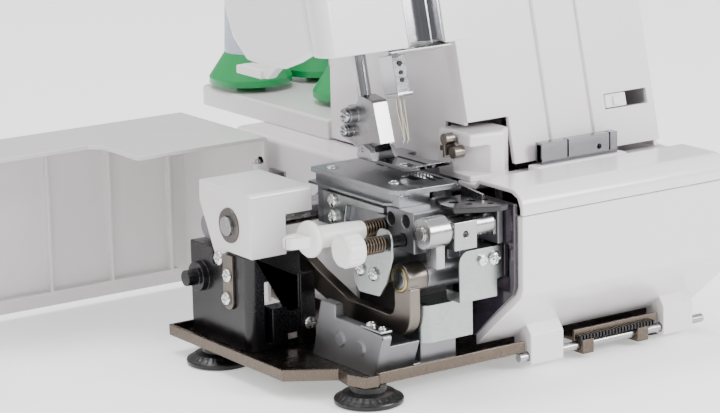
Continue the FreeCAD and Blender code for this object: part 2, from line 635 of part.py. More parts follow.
def right_wall():
    wall = Piece("right_wall", whole=False)
    outline = [("9.5", "14"), ("base_back", "14"), ("base_back", "base_top"), ("tower_back", "base_top"),
               ("panel_y + 6", "base_top"), ("panel_y + 6", "seam_z - 1"), ("9.5", "seam_z - 1")]
    wall.grow("YZ", [outline], "base_right + 0.3", "base_right + 0.3 + skin")
    holes = [("shaft_y", "shaft_z", "shaft_radius + 2")]
    wall.cut("YZ", holes, "base_right", "base_right + 4")
    wall.cut("YZ", [square("180", "194", "40", "62"), square("206", "222", "42", "60")], "base_right", "base_right + 4")
    return wall


# ----------------------------------------------------------------------------------- thread stand

CONES = (("107", "278"), ("159.5", "278"), ("130", "196"), ("183", "196"))
MAST = ("158", "237")


def make_spools():
    holders, threads = [], []
    for x, y in CONES:
        seat = ring("Z", x, y, "tray_top", "cone_z - tray_top + 0.01", "9", "3")
        rim = ring("Z", x, y, "cone_z", "4", "cone_radius", "3")
        cone = doc.addObject("Part::Cone", "cone")
        bind(cone, Radius1="cone_radius", Radius2="spool_radius", Height="15")
        bind(cone, Placement__Base__x=x, Placement__Base__y=y, Placement__Base__z="cone_z + 4")
        holders.append(together(seat, rim, less(cone, rod("Z", x, y, "cone_z + 4", "15", "3"))))
        spool = doc.addObject("Part::Cone", "spool")
        bind(spool, Radius1="spool_radius", Radius2="spool_radius - 3", Height="spool_top - cone_z - 19")
        bind(spool, Placement__Base__x=x, Placement__Base__y=y, Placement__Base__z="cone_z + 19")
        threads.append(less(spool, rod("Z", x, y, "cone_z + 18", "120", "4")))
    group("cone_holders", holders)
    group("thread_cones", threads)


def make_mast():
    x, y = MAST
    bar = block(("100", "216"), (y + " - 5", y + " + 5"), ("274", "276.5"))
    holes = [rod("Z", hook, y, "273", "5", "2") for hook in ("107", "134", "182", "209")]
    hub = rod("Z", x, y, "273", "6", "6")
    mast = rod("Z", x, y, "tray_top + 1", "155", "3.4")
    settle(together(mast, less(together(bar, hub), *holes)), "thread_mast")


# ------------------------------------------------------------------------------------------ drive


def groove_wheel(radius, flange):
    """Profile of a flat-belt wheel between two flanges."""
    return [("0", "0"), ("0", radius + flange), ("1", radius + flange), ("1", radius), ("pulley_wide - 1", radius),
            ("pulley_wide - 1", radius + flange), ("pulley_wide", radius + flange), ("pulley_wide", "0")]


def make_drive():
    long = "wheel_face_x - 4 - shaft_left"
    shaft = rod("X", "shaft_left", "shaft_y", "shaft_z", long, "shaft_radius")
    wheel = Piece("belt_wheel", "pulley_x", "shaft_y", "shaft_z", whole=False)
    wheel.spin("X", groove_wheel("pulley_radius", " + 2.5"))
    settle(together(shaft, wheel.body), "main_shaft")
    bushes = [ring("X", "box_left - 1", "shaft_y", "shaft_z", "12", "9.8", "shaft_radius + running_fit")]
    bushes += [ring("X", x, "shaft_y", "shaft_z", "5", "11", "shaft_radius + running_fit") for x in ("89", "206")]
    group("shaft_bushes", bushes)
    wheel = Piece("handwheel", x="wheel_in_x", y="shaft_y", z="shaft_z")
    width = "(wheel_face_x - wheel_in_x)"
    wheel.spin("X", [("0", "shaft_radius"), ("0", "wheel_radius - 6"), ("5", "wheel_radius"), (width + " - 5", "wheel_radius"),
                     (width, "wheel_radius - 5"), (width, "wheel_radius - 9"), (width + " - 3", "wheel_radius - 11"),
                     (width + " - 3", "12"), (width, "10"), (width, "0"), (width + " - 4", "0"), (width + " - 4", "shaft_radius")])
    small = Piece("small_wheel", "pulley_x", "motor_y", "motor_z", whole=False)
    small.spin("X", groove_wheel("motor_pulley_radius", " + 1.5"))
    hub = rod("X", "pulley_x - 5", "motor_y", "motor_z", "5", "6")
    stub = rod("X", "181", "motor_y", "motor_z", "pulley_x - 181", "3")
    settle(together(small.body, hub, stub), "motor_pulley")
    can = rod("X", "118", "motor_y", "motor_z", "66", "motor_radius")
    nose = rod("X", "184", "motor_y", "motor_z", "4", "12")
    feet = block(("130", "172"), ("motor_y - 22", "motor_y + 22"), (FLOOR, "motor_z"))
    bore = rod("X", "180", "motor_y", "motor_z", "10", "3 + running_fit")
    settle(less(together(can, nose, feet), bore), "motor")
    make_belt()


def make_belt():
    """Flat belt round both pulleys: two arcs joined by their outer tangents."""
    read = sheet.get
    gap = 0.3
    centres = [Vector(0, read("shaft_y"), read("shaft_z")), Vector(0, read("motor_y"), read("motor_z"))]
    way = centres[1] - centres[0]
    slope = math.atan2(way.z, way.y)
    turn = math.acos((read("pulley_radius") - read("motor_pulley_radius")) / way.Length)

    def loop(extra):
        radii = (read("pulley_radius") + gap + extra, read("motor_pulley_radius") + gap + extra)

        def point(index, angle):
            return centres[index] + Vector(0, math.cos(angle), math.sin(angle)) * radii[index]

        up, down = slope + turn, slope - turn
        edges = [
            Part.makeLine(point(0, up), point(1, up)),
            Part.Arc(point(1, up), point(1, slope), point(1, down)).toShape(),
            Part.makeLine(point(1, down), point(0, down)),
            Part.Arc(point(0, down), point(0, slope + math.pi), point(0, up)).toShape(),
        ]
        return Part.Face(Part.Wire(edges))

    band = loop(read("belt_thick")).cut(loop(0)).extrude(Vector(read("pulley_wide") - 3, 0, 0))
    belt = doc.addObject("Part::Feature", "belt")
    belt.Shape = band
    settle(belt, "belt", x="pulley_x + 1.5")


# ------------------------------------------------------------------------------- needle and foot


def make_bars():
    bar = leaning_rod("needle", "10", "95", "needle_bar_radius")
    clamp = leaning_block("needle", ("-4.4", "4.4"), ("-6", "7"), ("0", "21"))
    nut = leaning_block("needle", ("-5", "5.4"), ("-7", "4"), ("-2.5", "0"))
    settle(together(bar, clamp, nut), "needle_bar")
    needles = []
    for side in ("-1.3", "1.5"):
        shank = leaning_rod("needle", "-26", "-2.5", "0.45")
        bind(shank, Placement__Base__x="needle_x + (%s)" % side)
        tip = doc.addObject("Part::Cone", "tip")
        tip.Placement = Placement(Vector(0, 0, 0), Rotation(Vector(-1, 0, 0), 13.5))
        bind(tip, Placement__Rotation__Angle="bar_lean", Radius1="0.06", Radius2="0.45", Height="2.5")
        bind(tip, Placement__Base__x="needle_x + (%s)" % side)
        bind(tip, Placement__Base__y="needle_y - sin(bar_lean * 1 deg) * 28.5")
        bind(tip, Placement__Base__z="needle_z - cos(bar_lean * 1 deg) * 28.5")
        needles.append(together(shank, tip))
    group("needles", needles)
    settle(leaning_rod("presser", "0", "105", "presser_bar_radius"), "presser_bar")
    holder = Piece("shank", whole=False)
    holder.grow("YZ", [[("74", "150"), ("62", "148"), ("55", "125"), ("60", "123"), ("64", "118.5"), ("72", "118.5"),
                        ("88", "124"), ("89", "134"), ("86", "143"), ("79", "143")]], "49", "59")
    holder.corners("2.5", [0, 1, 6, 7, 8], "YZ")
    screws = [rod("X", "44", "80", "138", "6", "4.8"), rod("X", "45.5", "84", "128.5", "4.5", "3.8")]
    screws.append(rod("X", "44.5", "foot_pin_y", "foot_pin_z", "17.5", "foot_pin_radius"))
    socket = leaning_rod("presser", "0", "9", "presser_bar_radius")
    settle(less(together(holder.body, *screws), socket), "foot_holder")
    sole = [("22", "118"), ("24", "115.4"), ("28", "114.5"), ("76", "114.5"), ("90", "121"), ("95", "123"), ("94", "125"),
            ("88", "122.5"), ("75", "116.5"), ("64", "116.5"), ("30", "116.5")]
    foot = Piece("presser_foot").grow("YZ", [sole], "47", "77")
    foot.cut("XY", [[("76", "21"), ("78", "21"), ("78", "60"), ("70", "60"), ("70", "40")]], "110", "130")
    foot.cut("XY", [[("46", "74"), ("55", "74"), ("51", "96"), ("46", "96")], [("62", "74"), ("78", "74"), ("78", "96"), ("66", "96")]], "110", "130")
    foot.cut("XY", [square("50.2", "56", "29.5", "39"), square("60", "63", "28", "70")], "110", "130")
    ear = [("56", "116.5"), ("72", "116.5"), ("70", "122"), ("66", "124"), ("60", "122")]
    for left, right in (("44.5", "48.6"), ("59.4", "62")):
        foot.grow("YZ", [ear], left, right)
        foot.cut("YZ", [("foot_pin_y", "foot_pin_z", "foot_pin_radius + running_fit")], left, right)


def make_presser_lever():
    lever = Piece("lever_blade", whole=False)
    lever.grow("YZ", [[("94", "193"), ("104", "193"), ("106", "186"), ("134", "160.5"), ("164", "157.5"), ("164", "152.5"),
                       ("136", "152.5"), ("94", "184")]], "28", "34")
    lever.grow("YZ", [square("138", "164", "152.5", "157.5")], "25", "37")
    settle(together(lever.body, rod("X", "33", "99", "189", "12", "2.5")), "presser_lever")


def make_plate():
    plate = Piece("needle_plate")
    low = "bed_z - needle_plate_tier - needle_plate_thick"
    tier = [("needle_plate_left", "needle_plate_front + 1"), ("needle_plate_right - 14", "needle_plate_front - 1"), ("needle_plate_right", "needle_plate_front - 2"),
            ("needle_plate_right", "74"), ("60", "needle_plate_back"), ("needle_plate_left", "needle_plate_back - 1")]
    plate.grow("XY", [tier], "bed_z - 3", "bed_z")
    plate.corners("9", [0], "XY")
    plate.corners("6", [2], "XY")
    inner = [("needle_plate_left + 2", "needle_plate_front + 2"), ("48", "needle_plate_front + 1"), ("48", "needle_plate_back - 2"), ("needle_plate_left + 2", "needle_plate_back - 3")]
    plate.grow("XY", [inner], low, "bed_z - 3")
    flange = [("needle_plate_left - 1.2", "needle_plate_front + 12"), ("32", "needle_plate_front + 4"), ("48", "needle_plate_front + 4"),
              ("48", "needle_plate_back"), ("needle_plate_left - 1.2", "needle_plate_back")]
    plate.grow("XY", [flange], low, low + " + 1.6")
    plate.cut("XY", [square("50.3", "56.2", "25", "38"), square("57.4", "60.6", "18", "72"), square("62", "65.2", "18", "72")],
              "bed_z - 4", "bed_z")
    screws = [("37.7", "26.7", "3.4"), ("33", "80", "3.4")]
    plate.cut("XY", screws, "bed_z - 1.2", "bed_z")


def make_feed():
    bars = []
    for x in ("58.2", "62.8"):
        bars.append(block((x, x + " + 1.6"), ("26", "66"), ("94", "bed_z - 0.4")))
        bars += [block((x, x + " + 1.6"), (str(y), str(y) + " + 1.1"), ("bed_z - 0.5", "bed_z + 0.4")) for y in range(28, 64, 3)]
    bars.append(block(("55", "66"), ("24", "68"), ("86", "94")))
    bars.append(rod("Y", "59", "66", "90", "19", "3"))
    settle(together(*bars), "feed_dogs")


# ------------------------------------------------------------------------------------ looper area


def make_boxes():
    """White box cover over the shaft end and the black housing under it."""
    box = Piece("box_cover")
    side = [("box_front", "box_low"), ("box_front", "box_top"), ("box_back", "box_top"), ("box_back", "91"), ("117", "63"),
            ("114", "57.5"), ("107", "57.5"), ("104", "box_low")]
    box.grow("YZ", [side], "box_left", "box_right")
    box.corners("2.5", [1, 4, 5, 6], "YZ")
    box.rims("1.4", "X", 0)
    inner = [("box_front + thin", "50"), ("box_front + thin", "box_top - thin"), ("box_back - thin", "box_top - thin"),
             ("box_back - thin", "92"), ("box_back - thin", "50")]
    box.cut("YZ", [inner], "box_left + thin", "box_right + 1")
    box.cut("XZ", [square("1", "box_right + 1", "60", "88.5")], "box_front - 1", "box_front + 4")
    box.cut("YZ", [("shaft_y", "shaft_z", "9.8")], "box_left - 1", "box_left + thin")
    house = Piece("housing_shell", whole=False)
    house.grow("XY", [square("box_left", "housing_right", "housing_front", "housing_back")], FLOOR, "box_low")
    house.soften("5", vertical_edges(house, ("min", "min")))
    house.cut("XY", [square("box_left + skin", "housing_right + 1", "housing_front + skin", "housing_back - skin")], FLOOR, "box_low - skin")
    house.cut("XZ", [square("-12", "10", "16", "51")], "housing_front - 1", "housing_front + 4")
    house.cut("YZ", [square("102.5", "118.5", "56.8", "box_low + 1")], "box_left - 1", "box_left + thin")
    strap = Piece("housing_strap").grow("YZ", [square("95.5", "105.5", "34", "box_low - 1")], "box_left - 1.8", "box_left")
    strap.corners("4.5", [0, 1], "YZ")
    plug = [rod("X", "box_left - 4", "131", "47", "5", "8.5"), rod("X", "box_left - 11", "131", "47", "8", "4.6")]
    latch = [block(("-9", "1"), ("79", "88"), ("15", "36")), block(("1", "10"), ("80", "84"), ("20", "33"))]
    upright = block(("10.5", "20.3"), ("80", "84"), (FLOOR, "53"))
    settle(together(house.body, upright, *plug, *latch), "black_housing")


def make_casting():
    solids = [
        block(("cast_left", "cast_right"), ("cast_front", "cast_rear"), ("cast_low", CAST_TOP)),
        block(("30", "36"), ("cast_rear", "90"), ("84", CAST_TOP)),
        block(("30", "64"), ("77", "90"), ("cast_low", CAST_TOP)),
        block(("64", "89"), ("77", "90"), ("84", "98")),
        block(("cast_left", "34"), ("cast_rear", "28"), ("83", "95")),
        block(("14.5 + sheet_metal", "36"), ("11", "28"), ("60", "84")),
        block(("60", "71"), ("-22.2 + sheet_metal", "cast_front"), ("68", "79")),
        block(("60", "71"), ("cast_front", "0"), ("68", "79")),
        block(("cast_right - 2", "smoke_x - 0.9"), ("cast_front", "4"), ("cast_low", "84")),
        block(("smoke_x - 4.4", "smoke_x - 0.9"), ("rock_y - 6", "cast_front + 2"), ("80.4", "99")),
        rod("X", "arm_x + 13.5", "arm_axis_y", "arm_axis_z", "36", "8"),
        block(("52", "70"), ("arm_axis_y - 3", "arm_axis_y + 3"), ("arm_axis_z + 6", "cast_low + 1")),
    ]
    bores = [
        rod("X", "cast_left - 1", "15", "94", "9", "3.6"),
        rod("X", "cast_left - 1", "1.5", "95", "9", "3.6"),
        rod("X", "cast_left - 1", "dial_y", "dial_z", "12", "stem_radius + running_fit"),
        rod("X", "cast_left - 1", "knob_y", "knob_z", "10", "3.2 + running_fit"),
        rod("X", "arm_x + 12", "arm_axis_y", "arm_axis_z", "60", "arm_shaft_radius + running_fit"),
        rod("X", "smoke_x - 6", "rock_y", "rock_z", "8", "rock_shaft_radius + running_fit"),
        rod("Y", "59", "76", "90", "12", "3 + running_fit"),
    ]
    settle(less(together(*solids), *bores), "bed_casting")
    support = Piece("support_bracket")
    support.grow("YZ", [[("80", "98.5"), ("22", "98.5"), ("22", "95.5"), ("57", "94"), ("60", "82"), ("66", "80"), ("80", "80")]],
                 "cast_left", "cast_left + 3")
    support.corners("2", [3, 4], "YZ")
    lower = Piece("lower_casting")
    lower.grow("YZ", [[("2", FLOOR), ("-8", "37"), ("14", "38"), ("38", "38"), ("38", "45"), ("52", "45"), ("61", FLOOR)]], "5", "11")
    lower.corners("2", [1, 5], "YZ")
    lower.grow("YZ", [[("2", FLOOR), ("-5.2", "30"), ("-1.2", "30"), ("6", FLOOR)]], "11", "30.6")
    lower.grow("YZ", [[("2", FLOOR), ("2", "15"), ("61", "15"), ("61", FLOOR)]], "11", "60")
    lower.grow("YZ", [square("2", "8", "14", "47.8")], "36", "60")
    lower.grow("YZ", [("33", "26.6", "4.2"), ("14", "26", "4.2")], "3.8", "5")


def make_arm():
    """Bent rocking arm on its shaft, with the ring that keeps it there."""
    arm = Piece("rocking_arm")
    bent = [("6", "58"), ("6", "42.3"), ("50", "42.5"), ("55.4", "44.5"), ("80", "53"), ("100", "62"), ("105", "57"),
            ("103", "51.5"), ("87", "42.5"), ("56", "33.5"), ("50", "32"), ("-8.5", "32"), ("-8.5", "60")]
    arm.grow("YZ", [bent], "arm_x", "arm_x + arm_thick")
    arm.corners("7", [1], "YZ")
    arm.corners("14", [11], "YZ")
    arm.grow("YZ", [("arm_axis_y", "arm_axis_z", "8.6")], "arm_x", "arm_x + 13")
    arm.cut("YZ", [("arm_axis_y", "arm_axis_z", "arm_shaft_radius")], "arm_x - 1", "arm_x + 14")
    settle(rod("X", "arm_x - 0.8", "arm_axis_y", "arm_axis_z", "smoke_x - arm_x + 0.5", "arm_shaft_radius"), "arm_shaft")


def make_rocker():
    """Rocking block of the upper knife with its shaft, in front of the casting."""
    solids = [
        rod("X", "22.6", "rock_y", "rock_z", "smoke_x - 22.6 - 0.9", "rock_shaft_radius"),
        rod("X", "24", "rock_y", "rock_z", "14", "8.5"),
        block(("31", "36.5"), ("rock_y - 4", "rock_y + 6"), ("72", "rock_z")),
        block(("39.7", "54.5"), ("rock_y - 8.5", "rock_y + 8"), ("rock_z - 10.5", "rock_z + 5")),
        rod("X", "38", "rock_y", "rock_z", "17", "6.5"),
        rod("X", "54.5", "rock_y", "rock_z", "13.1", "7"),
    ]
    thread = rod("Y", "47", "rock_y - 9", "rock_z - 2", "4.5", "1.7")
    settle(less(together(*solids), thread), "rocking_block")
    blade = Piece("upper_knife")
    blade.grow("YZ", [[("rock_y + 5", "rock_z + 2"), ("rock_y + 5", "bed_z - 4"), ("rock_y + 24", "bed_z - 2"), ("rock_y + 24", "rock_z + 6"),
                       ("rock_y + 12", "rock_z - 4"), ("rock_y - 5", "rock_z - 6"), ("rock_y - 5", "rock_z + 2")]], "68", "69.7")
    blade.cut("YZ", [("rock_y", "rock_z", "rock_shaft_radius")], "67", "70")


def make_controls():
    """Release knob and width dial: white grips on sprung stems that enter the casting."""
    knob = Piece("release_knob", y="knob_y", z="knob_z")
    knob.spin("X", [("knob_tip_x + 12", "0"), ("knob_tip_x + 12", "5"), ("knob_tip_x + 15", "9"), ("knob_tip_x + 19", "knob_radius"),
                    ("knob_tip_x + 22", "knob_radius - 1.5"), ("knob_tip_x + 24", "6.2"), ("2", "5.8"), ("2", "5.2"),
                    ("sleeve_right", "4.8"), ("sleeve_right", "3.2"), ("cast_left + 8", "3.2"), ("cast_left + 8", "0")])
    knob.grow("XY", [[("knob_tip_x", "-3"), ("knob_tip_x + 3", "-6"), ("knob_tip_x + 14", "-7"), ("knob_tip_x + 14", "7"),
                      ("knob_tip_x + 3", "6"), ("knob_tip_x", "3")]], "-3.2", "3.2")
    knob.cut("XY", [square("knob_tip_x + 4", "knob_tip_x + 10", "-1", "1")], "-4", "4")
    dial = Piece("width_dial", y="dial_y", z="dial_z")
    dial.spin("X", [("dial_left", "0"), ("dial_left", "dial_radius - 1"), ("dial_left + 1", "dial_radius"), ("dial_right - 2", "dial_radius - 0.5"),
                    ("dial_right", "7"), ("dial_right", "stem_radius"), ("cast_left + 8", "stem_radius"), ("cast_left + 8", "0")])
    springs = [ring("X", "sleeve_right + 0.4", "knob_y", "knob_z", "cast_left - sleeve_right - 0.4", "4.6", "3.5"),
               ring("X", "dial_right + 0.4", "dial_y", "dial_z", BRACKET_X + " - dial_right - 0.4", "4.9", "3.8")]
    group("stem_springs", springs)


def make_sheet_metal():
    plate = Piece("spring_bracket")
    edge = [("9", "54"), ("3", "62"), ("dial_y - 7", "dial_z - 7"), ("dial_y - 7", "dial_z + 8"), ("dial_y + 7", "dial_z + 8"),
            ("dial_y + 7", "83.5"), ("22", "83.5"), ("26", "79"), ("32", "66"), ("33", "58"), ("28", "53")]
    plate.grow("YZ", [edge], BRACKET_X, BRACKET_X + " + sheet_metal")
    plate.corners("2.5", [0, 1, 6, 7, 8, 9, 10], "YZ")
    plate.corners("6", [3, 4], "YZ")
    plate.cut("YZ", [("dial_y", "dial_z", "stem_radius + running_fit")], BRACKET_X + " - 1", BRACKET_X + " + sheet_metal + 1")
    front = Piece("front_bracket")
    front.grow("XZ", [[("45", "51.5"), ("45", "79.5"), ("73.5", "79.5"), ("73.5", "62"), ("70", "61"), ("70", "51.5")]], "-22.2", "-22.2 + sheet_metal")
    front.corners("6", [1], "XZ")
    front.grow("XZ", [square("45", "70", "51.5", "51.5 + sheet_metal")], "-22.2", "-10")
    front.grow("XY", [square("45", "45 + sheet_metal", "-22.2", "-10")], "51.5", "57")
    guard = Piece("guard_plate")
    fold = [("31", "10"), ("31", "-8"), ("64", "-8"), ("64", "-8 + sheet_metal"), ("31 + sheet_metal", "-8 + sheet_metal"),
            ("31 + sheet_metal", "10")]
    guard.grow("XY", [fold], "28", "49")
    guard.corners("6", [1], "XY")
    guard.corners("6 - sheet_metal", [4], "XY")
    guard.grow("XY", [square("37", "64", "-8 + sheet_metal / 2", "12")], "49 - sheet_metal", "49")
    black = Piece("knife_guard")
    black.grow("XY", [[("49", "4.5"), ("66.5", "4.5"), ("73.5", "-12"), ("73", "-30"), ("66", "-31"), ("43", "-20"), ("43.5", "-8")]], CAST_TOP, CAST_TOP + " + 3")
    black.corners("2", [3, 4, 5, 6], "XY")
    black.cut("XY", [("52", "-8", "2.6"), ("62", "-10", "2.6"), ("56", "-16", "1.8"), ("66", "-22", "1.8")], CAST_TOP, CAST_TOP + " + 3")
    black.cut("XY", [square("67.2", "70.5", "rock_y + 2", "8")], CAST_TOP, CAST_TOP + " + 3")


def make_guides():
    """Chrome box guide at the panel's foot and the white block with its looper thread guide."""
    box = Piece("box_guide")
    shell = [("10.5", "bed_z - 0.2"), ("10.5", "bed_z + 12"), ("16.5", "bed_z + 12"), ("16.5", "bed_z - 0.2")]
    hollow = [("11.7", "bed_z + 1"), ("11.7", "bed_z + 10.8"), ("15.3", "bed_z + 10.8"), ("15.3", "bed_z + 1")]
    box.grow("YZ", [shell, hollow], "127", "181")
    for x in ("145", "175"):
        box.cut("YZ", [square("9", "18", "bed_z + 2", "bed_z + 13")], x, x + " + 1")
    box.cut("XZ", [("168", "bed_z + 5", "1.6")], "10", "12")
    white = Piece("guide_block")
    white.grow("XY", [[("79", "13"), ("100", "9.5"), ("110", "19"), ("110", "32"), ("98", "42"), ("79", "42")]], "trough_z", "bed_z + 23")
    white.rims("2", "Z", 1)
    white.cut("XY", [[("78", "13"), ("94", "8"), ("78", "30")]], "bed_z", "bed_z + 16")
    hooks = [block(("70", "79"), ("24", "26"), ("bed_z + 10", "bed_z + 20")), rod("X", "70", "25", "bed_z + 20", "6", "3.2"),
             rod("X", "72", "20", "bed_z + 13", "7", "3.4"), block(("74", "76"), ("18", "34"), ("bed_z + 12", "bed_z + 15"))]
    settle(together(*hooks), "looper_guide")


def make_panel_controls():
    for number, x in enumerate(DIALS, 1):
        dial = Piece("tension_dial_%d" % number, x=x, y=lean_y("235") + " + dial_depth", z="235")
        dial.spin("X", [("-4", "2.55"), ("-4", "dial_grip - 1.5"), ("-3", "dial_grip"), ("3", "dial_grip"), ("4", "dial_grip - 1.5"),
                        ("4", "2.55")])
    slider = Piece("stitch_slider")
    face = lambda z, deep: (lean_y(z) + " + (%s)" % deep, z)
    slider.grow("YZ", [[face("132.6", "0.6"), face("132.6", "panel_thick"), face("140", "panel_thick"), face("140", "0.6")]], "184", "199")
    slider.grow("YZ", [[face("134", "-0.8"), face("134", "1"), face("138.6", "1"), face("138.6", "-0.8")]], "189", "194")
    outer = "base_right + 0.3 + skin"
    rocker = Piece("power_switch", x=outer, y="187", z="51")
    rocker.grow("XZ", [[("-4", "-9"), ("0.5", "-10"), ("3", "-8"), ("1.2", "0"), ("3", "8"), ("0.5", "10"), ("-4", "9")]], "-6.3", "6.3")


SCREWS = [
    ("box_left - 2.2", "110.6", "61.2", 4.2), ("box_left - 4", "99.5", "53.7", 4.0), ("box_left - 4", "101", "40.1", 4.0),
    ("cast_left - 2.2", "69.5", "94.2", 3.9), ("cast_left - 2.2", "69.5", "85.4", 3.9),
    ("14.5 - 2.2", "25.8", "66", 3.9), ("14.5 - 2.2", "13.5", "65.5", 3.9),
]


def make_screws():
    heads = [rod("X", x, y, z, "2.2", str(r)) for x, y, z, r in SCREWS]
    heads.append(rod("Y", "16", "77.8", "24", "2.2", "3.9"))
    heads.append(rod("Y", "68", "-24.6", "73", "2.4", "3.9"))
    heads.append(rod("Y", "60", "-24.4", "73", "2.2", "3.2"))
    group("screw_heads", heads)


make_base()
make_front_cover()
make_front_hinge()
make_bed()
make_side_cover()
make_side_hinge()
make_tower()
make_head()
make_channel()
make_rear()
make_spools()
make_mast()
make_drive()
make_bars()
make_presser_lever()
make_plate()
make_feed()
make_boxes()
make_casting()
make_arm()
make_rocker()
make_controls()
make_sheet_metal()
make_guides()
make_panel_controls()
make_screws()

# ------------------------------------------------------------------------------- check and write

doc.recompute()
faults = [o.Label for o in doc.Objects if "Invalid" in o.State or "Error" in o.State]
for item in nodes:
    if item.Shape.isNull() or not item.Shape.isValid() or not item.Shape.Solids:
        faults.append(item.Label)
if faults:
    raise ValueError("failed: " + ", ".join(faults))

os.makedirs("parts", exist_ok=True)
for item in nodes:
    item.Shape.exportStep("parts/%s.step" % item.Label)
print(len(nodes), "sub-parts written")
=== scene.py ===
import json
import math

import bmesh
import bpy
from mathutils import Matrix, Vector


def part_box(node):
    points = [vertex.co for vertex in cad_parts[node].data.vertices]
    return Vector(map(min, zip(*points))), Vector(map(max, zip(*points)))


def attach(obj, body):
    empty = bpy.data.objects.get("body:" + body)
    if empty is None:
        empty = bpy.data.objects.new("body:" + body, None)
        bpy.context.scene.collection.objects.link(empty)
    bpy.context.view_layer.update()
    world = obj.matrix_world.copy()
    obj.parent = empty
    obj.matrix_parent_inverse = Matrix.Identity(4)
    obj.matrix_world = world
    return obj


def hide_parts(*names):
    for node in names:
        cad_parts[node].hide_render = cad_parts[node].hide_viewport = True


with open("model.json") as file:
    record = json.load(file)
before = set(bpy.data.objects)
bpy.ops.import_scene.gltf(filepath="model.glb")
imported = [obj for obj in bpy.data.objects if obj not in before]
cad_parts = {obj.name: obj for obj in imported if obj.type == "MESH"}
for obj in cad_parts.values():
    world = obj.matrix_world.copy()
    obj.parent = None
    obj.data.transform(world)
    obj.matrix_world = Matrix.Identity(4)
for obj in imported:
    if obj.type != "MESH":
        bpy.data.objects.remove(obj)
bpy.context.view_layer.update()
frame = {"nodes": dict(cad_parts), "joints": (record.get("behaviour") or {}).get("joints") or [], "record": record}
record = frame["record"]
body_of_node = {n: b for b, nodes in record["behaviour"]["bodies"].items() for n in nodes}
slot_of_node = {s["node"]: s["material_slot"] for s in record["subparts"]}
FOOT = Vector(record["mounts"][0]["pos_m"])
JOINTS = {j["name"]: j for j in frame["joints"]}


def at(x, y, z):
    """A point given in millimetres from the front left foot's centre."""
    return FOOT + Vector((x, y, z)) / 1000


# ------------------------------------------------------------------------------------ materials


class Value:
    """A shader socket that takes part in sums."""

    def __init__(self, tree, socket):
        self.tree = tree
        self.socket = socket

    def math(self, operation, first, second):
        node = self.tree.nodes.new("ShaderNodeMath")
        node.operation = operation
        for slot, value in enumerate((first, second)):
            if isinstance(value, Value):
                self.tree.links.new(value.socket, node.inputs[slot])
            else:
                node.inputs[slot].default_value = value
        return Value(self.tree, node.outputs[0])

    def __add__(self, other):
        return self.math("ADD", self, other)

    def __sub__(self, other):
        return self.math("SUBTRACT", self, other)

    def __mul__(self, other):
        return self.math("MULTIPLY", self, other)

    def __rsub__(self, other):
        return self.math("SUBTRACT", other, self)

    __radd__ = __add__
    __rmul__ = __mul__


class Shade:
    """One material under construction."""

    def __init__(self, name):
        self.material = bpy.data.materials.new(name)
        self.material.use_nodes = True
        self.tree = self.material.node_tree
        self.shader = self.tree.nodes["Principled BSDF"]
        self.place = self.make("ShaderNodeTexCoord", "Object")

    def make(self, kind, output, settings=(), **inputs):
        node = self.tree.nodes.new(kind)
        for key, value in dict(settings).items():
            setattr(node, key, value)
        for key, value in inputs.items():
            target = node.inputs[key.replace("_", " ")]
            if isinstance(value, Value):
                self.tree.links.new(value.socket, target)
            else:
                target.default_value = value
        return Value(self.tree, node.outputs[output])

    def stretched(self, scale):
        return self.make("ShaderNodeMapping", 0, Vector=self.place, Scale=scale)

    def noise(self, scale, stretch=(1, 1, 1), detail=3.0):
        return self.make("ShaderNodeTexNoise", 0, Vector=self.stretched(stretch), Scale=scale, Detail=detail)

    def color(self, low, high, factor):
        node = self.tree.nodes.new("ShaderNodeMix")
        node.data_type = "RGBA"
        node.inputs[6].default_value = (*low, 1)
        node.inputs[7].default_value = (*high, 1)
        self.tree.links.new(factor.socket, node.inputs[0])
        return Value(self.tree, node.outputs[2])

    def bump(self, height, strength, distance):
        return self.make("ShaderNodeBump", 0, Height=height, Strength=strength, Distance=distance)

    def set(self, **inputs):
        for key, value in inputs.items():
            target = self.shader.inputs[key.replace("_", " ")]
            if isinstance(value, Value):
                self.tree.links.new(value.socket, target)
            else:
                target.default_value = value
        return self.material


def tint(color, amount):
    return tuple(min(1.0, max(0.0, c * amount)) for c in color)


def plain(name, color, rough, metal=0.0, coat=0.0, grain=900, depth=0.25, spread=0.06, stretch=(1, 1, 1)):
    """A finish with cloudy tone, uneven gloss and a fine grain."""
    shade = Shade(name)
    cloud = shade.noise(18, stretch)
    fine = shade.noise(grain, stretch, 4.0)
    blend = cloud * 0.6 + fine * 0.4
    tone = shade.color(tint(color, 1 - spread), tint(color, 1 + spread), blend)
    gloss = (cloud - 0.5) * 0.18 + (fine - 0.5) * 0.12 + rough
    relief = shade.bump(fine, depth, 0.00012)
    shade.set(Base_Color=tone, Roughness=gloss, Metallic=metal, Coat_Weight=coat, Normal=relief)
    return shade.material


def cast_metal(name, color, rough, metal):
    """Die-cast surface: pores, flow marks and a soft sheen."""
    shade = Shade(name)
    cloud = shade.noise(70, detail=5.0)
    pores = shade.make("ShaderNodeTexVoronoi", "Distance", Vector=shade.place, Scale=1400.0)
    fine = shade.noise(1600, detail=2.0)
    tone = shade.color(tint(color, 0.72), tint(color, 1.25), cloud * 0.8 + fine * 0.2)
    relief = shade.bump(pores * 0.6 + cloud * 0.9, 0.35, 0.0003)
    return shade.set(Base_Color=tone, Roughness=(cloud - 0.5) * 0.35 + rough, Metallic=metal, Normal=relief)


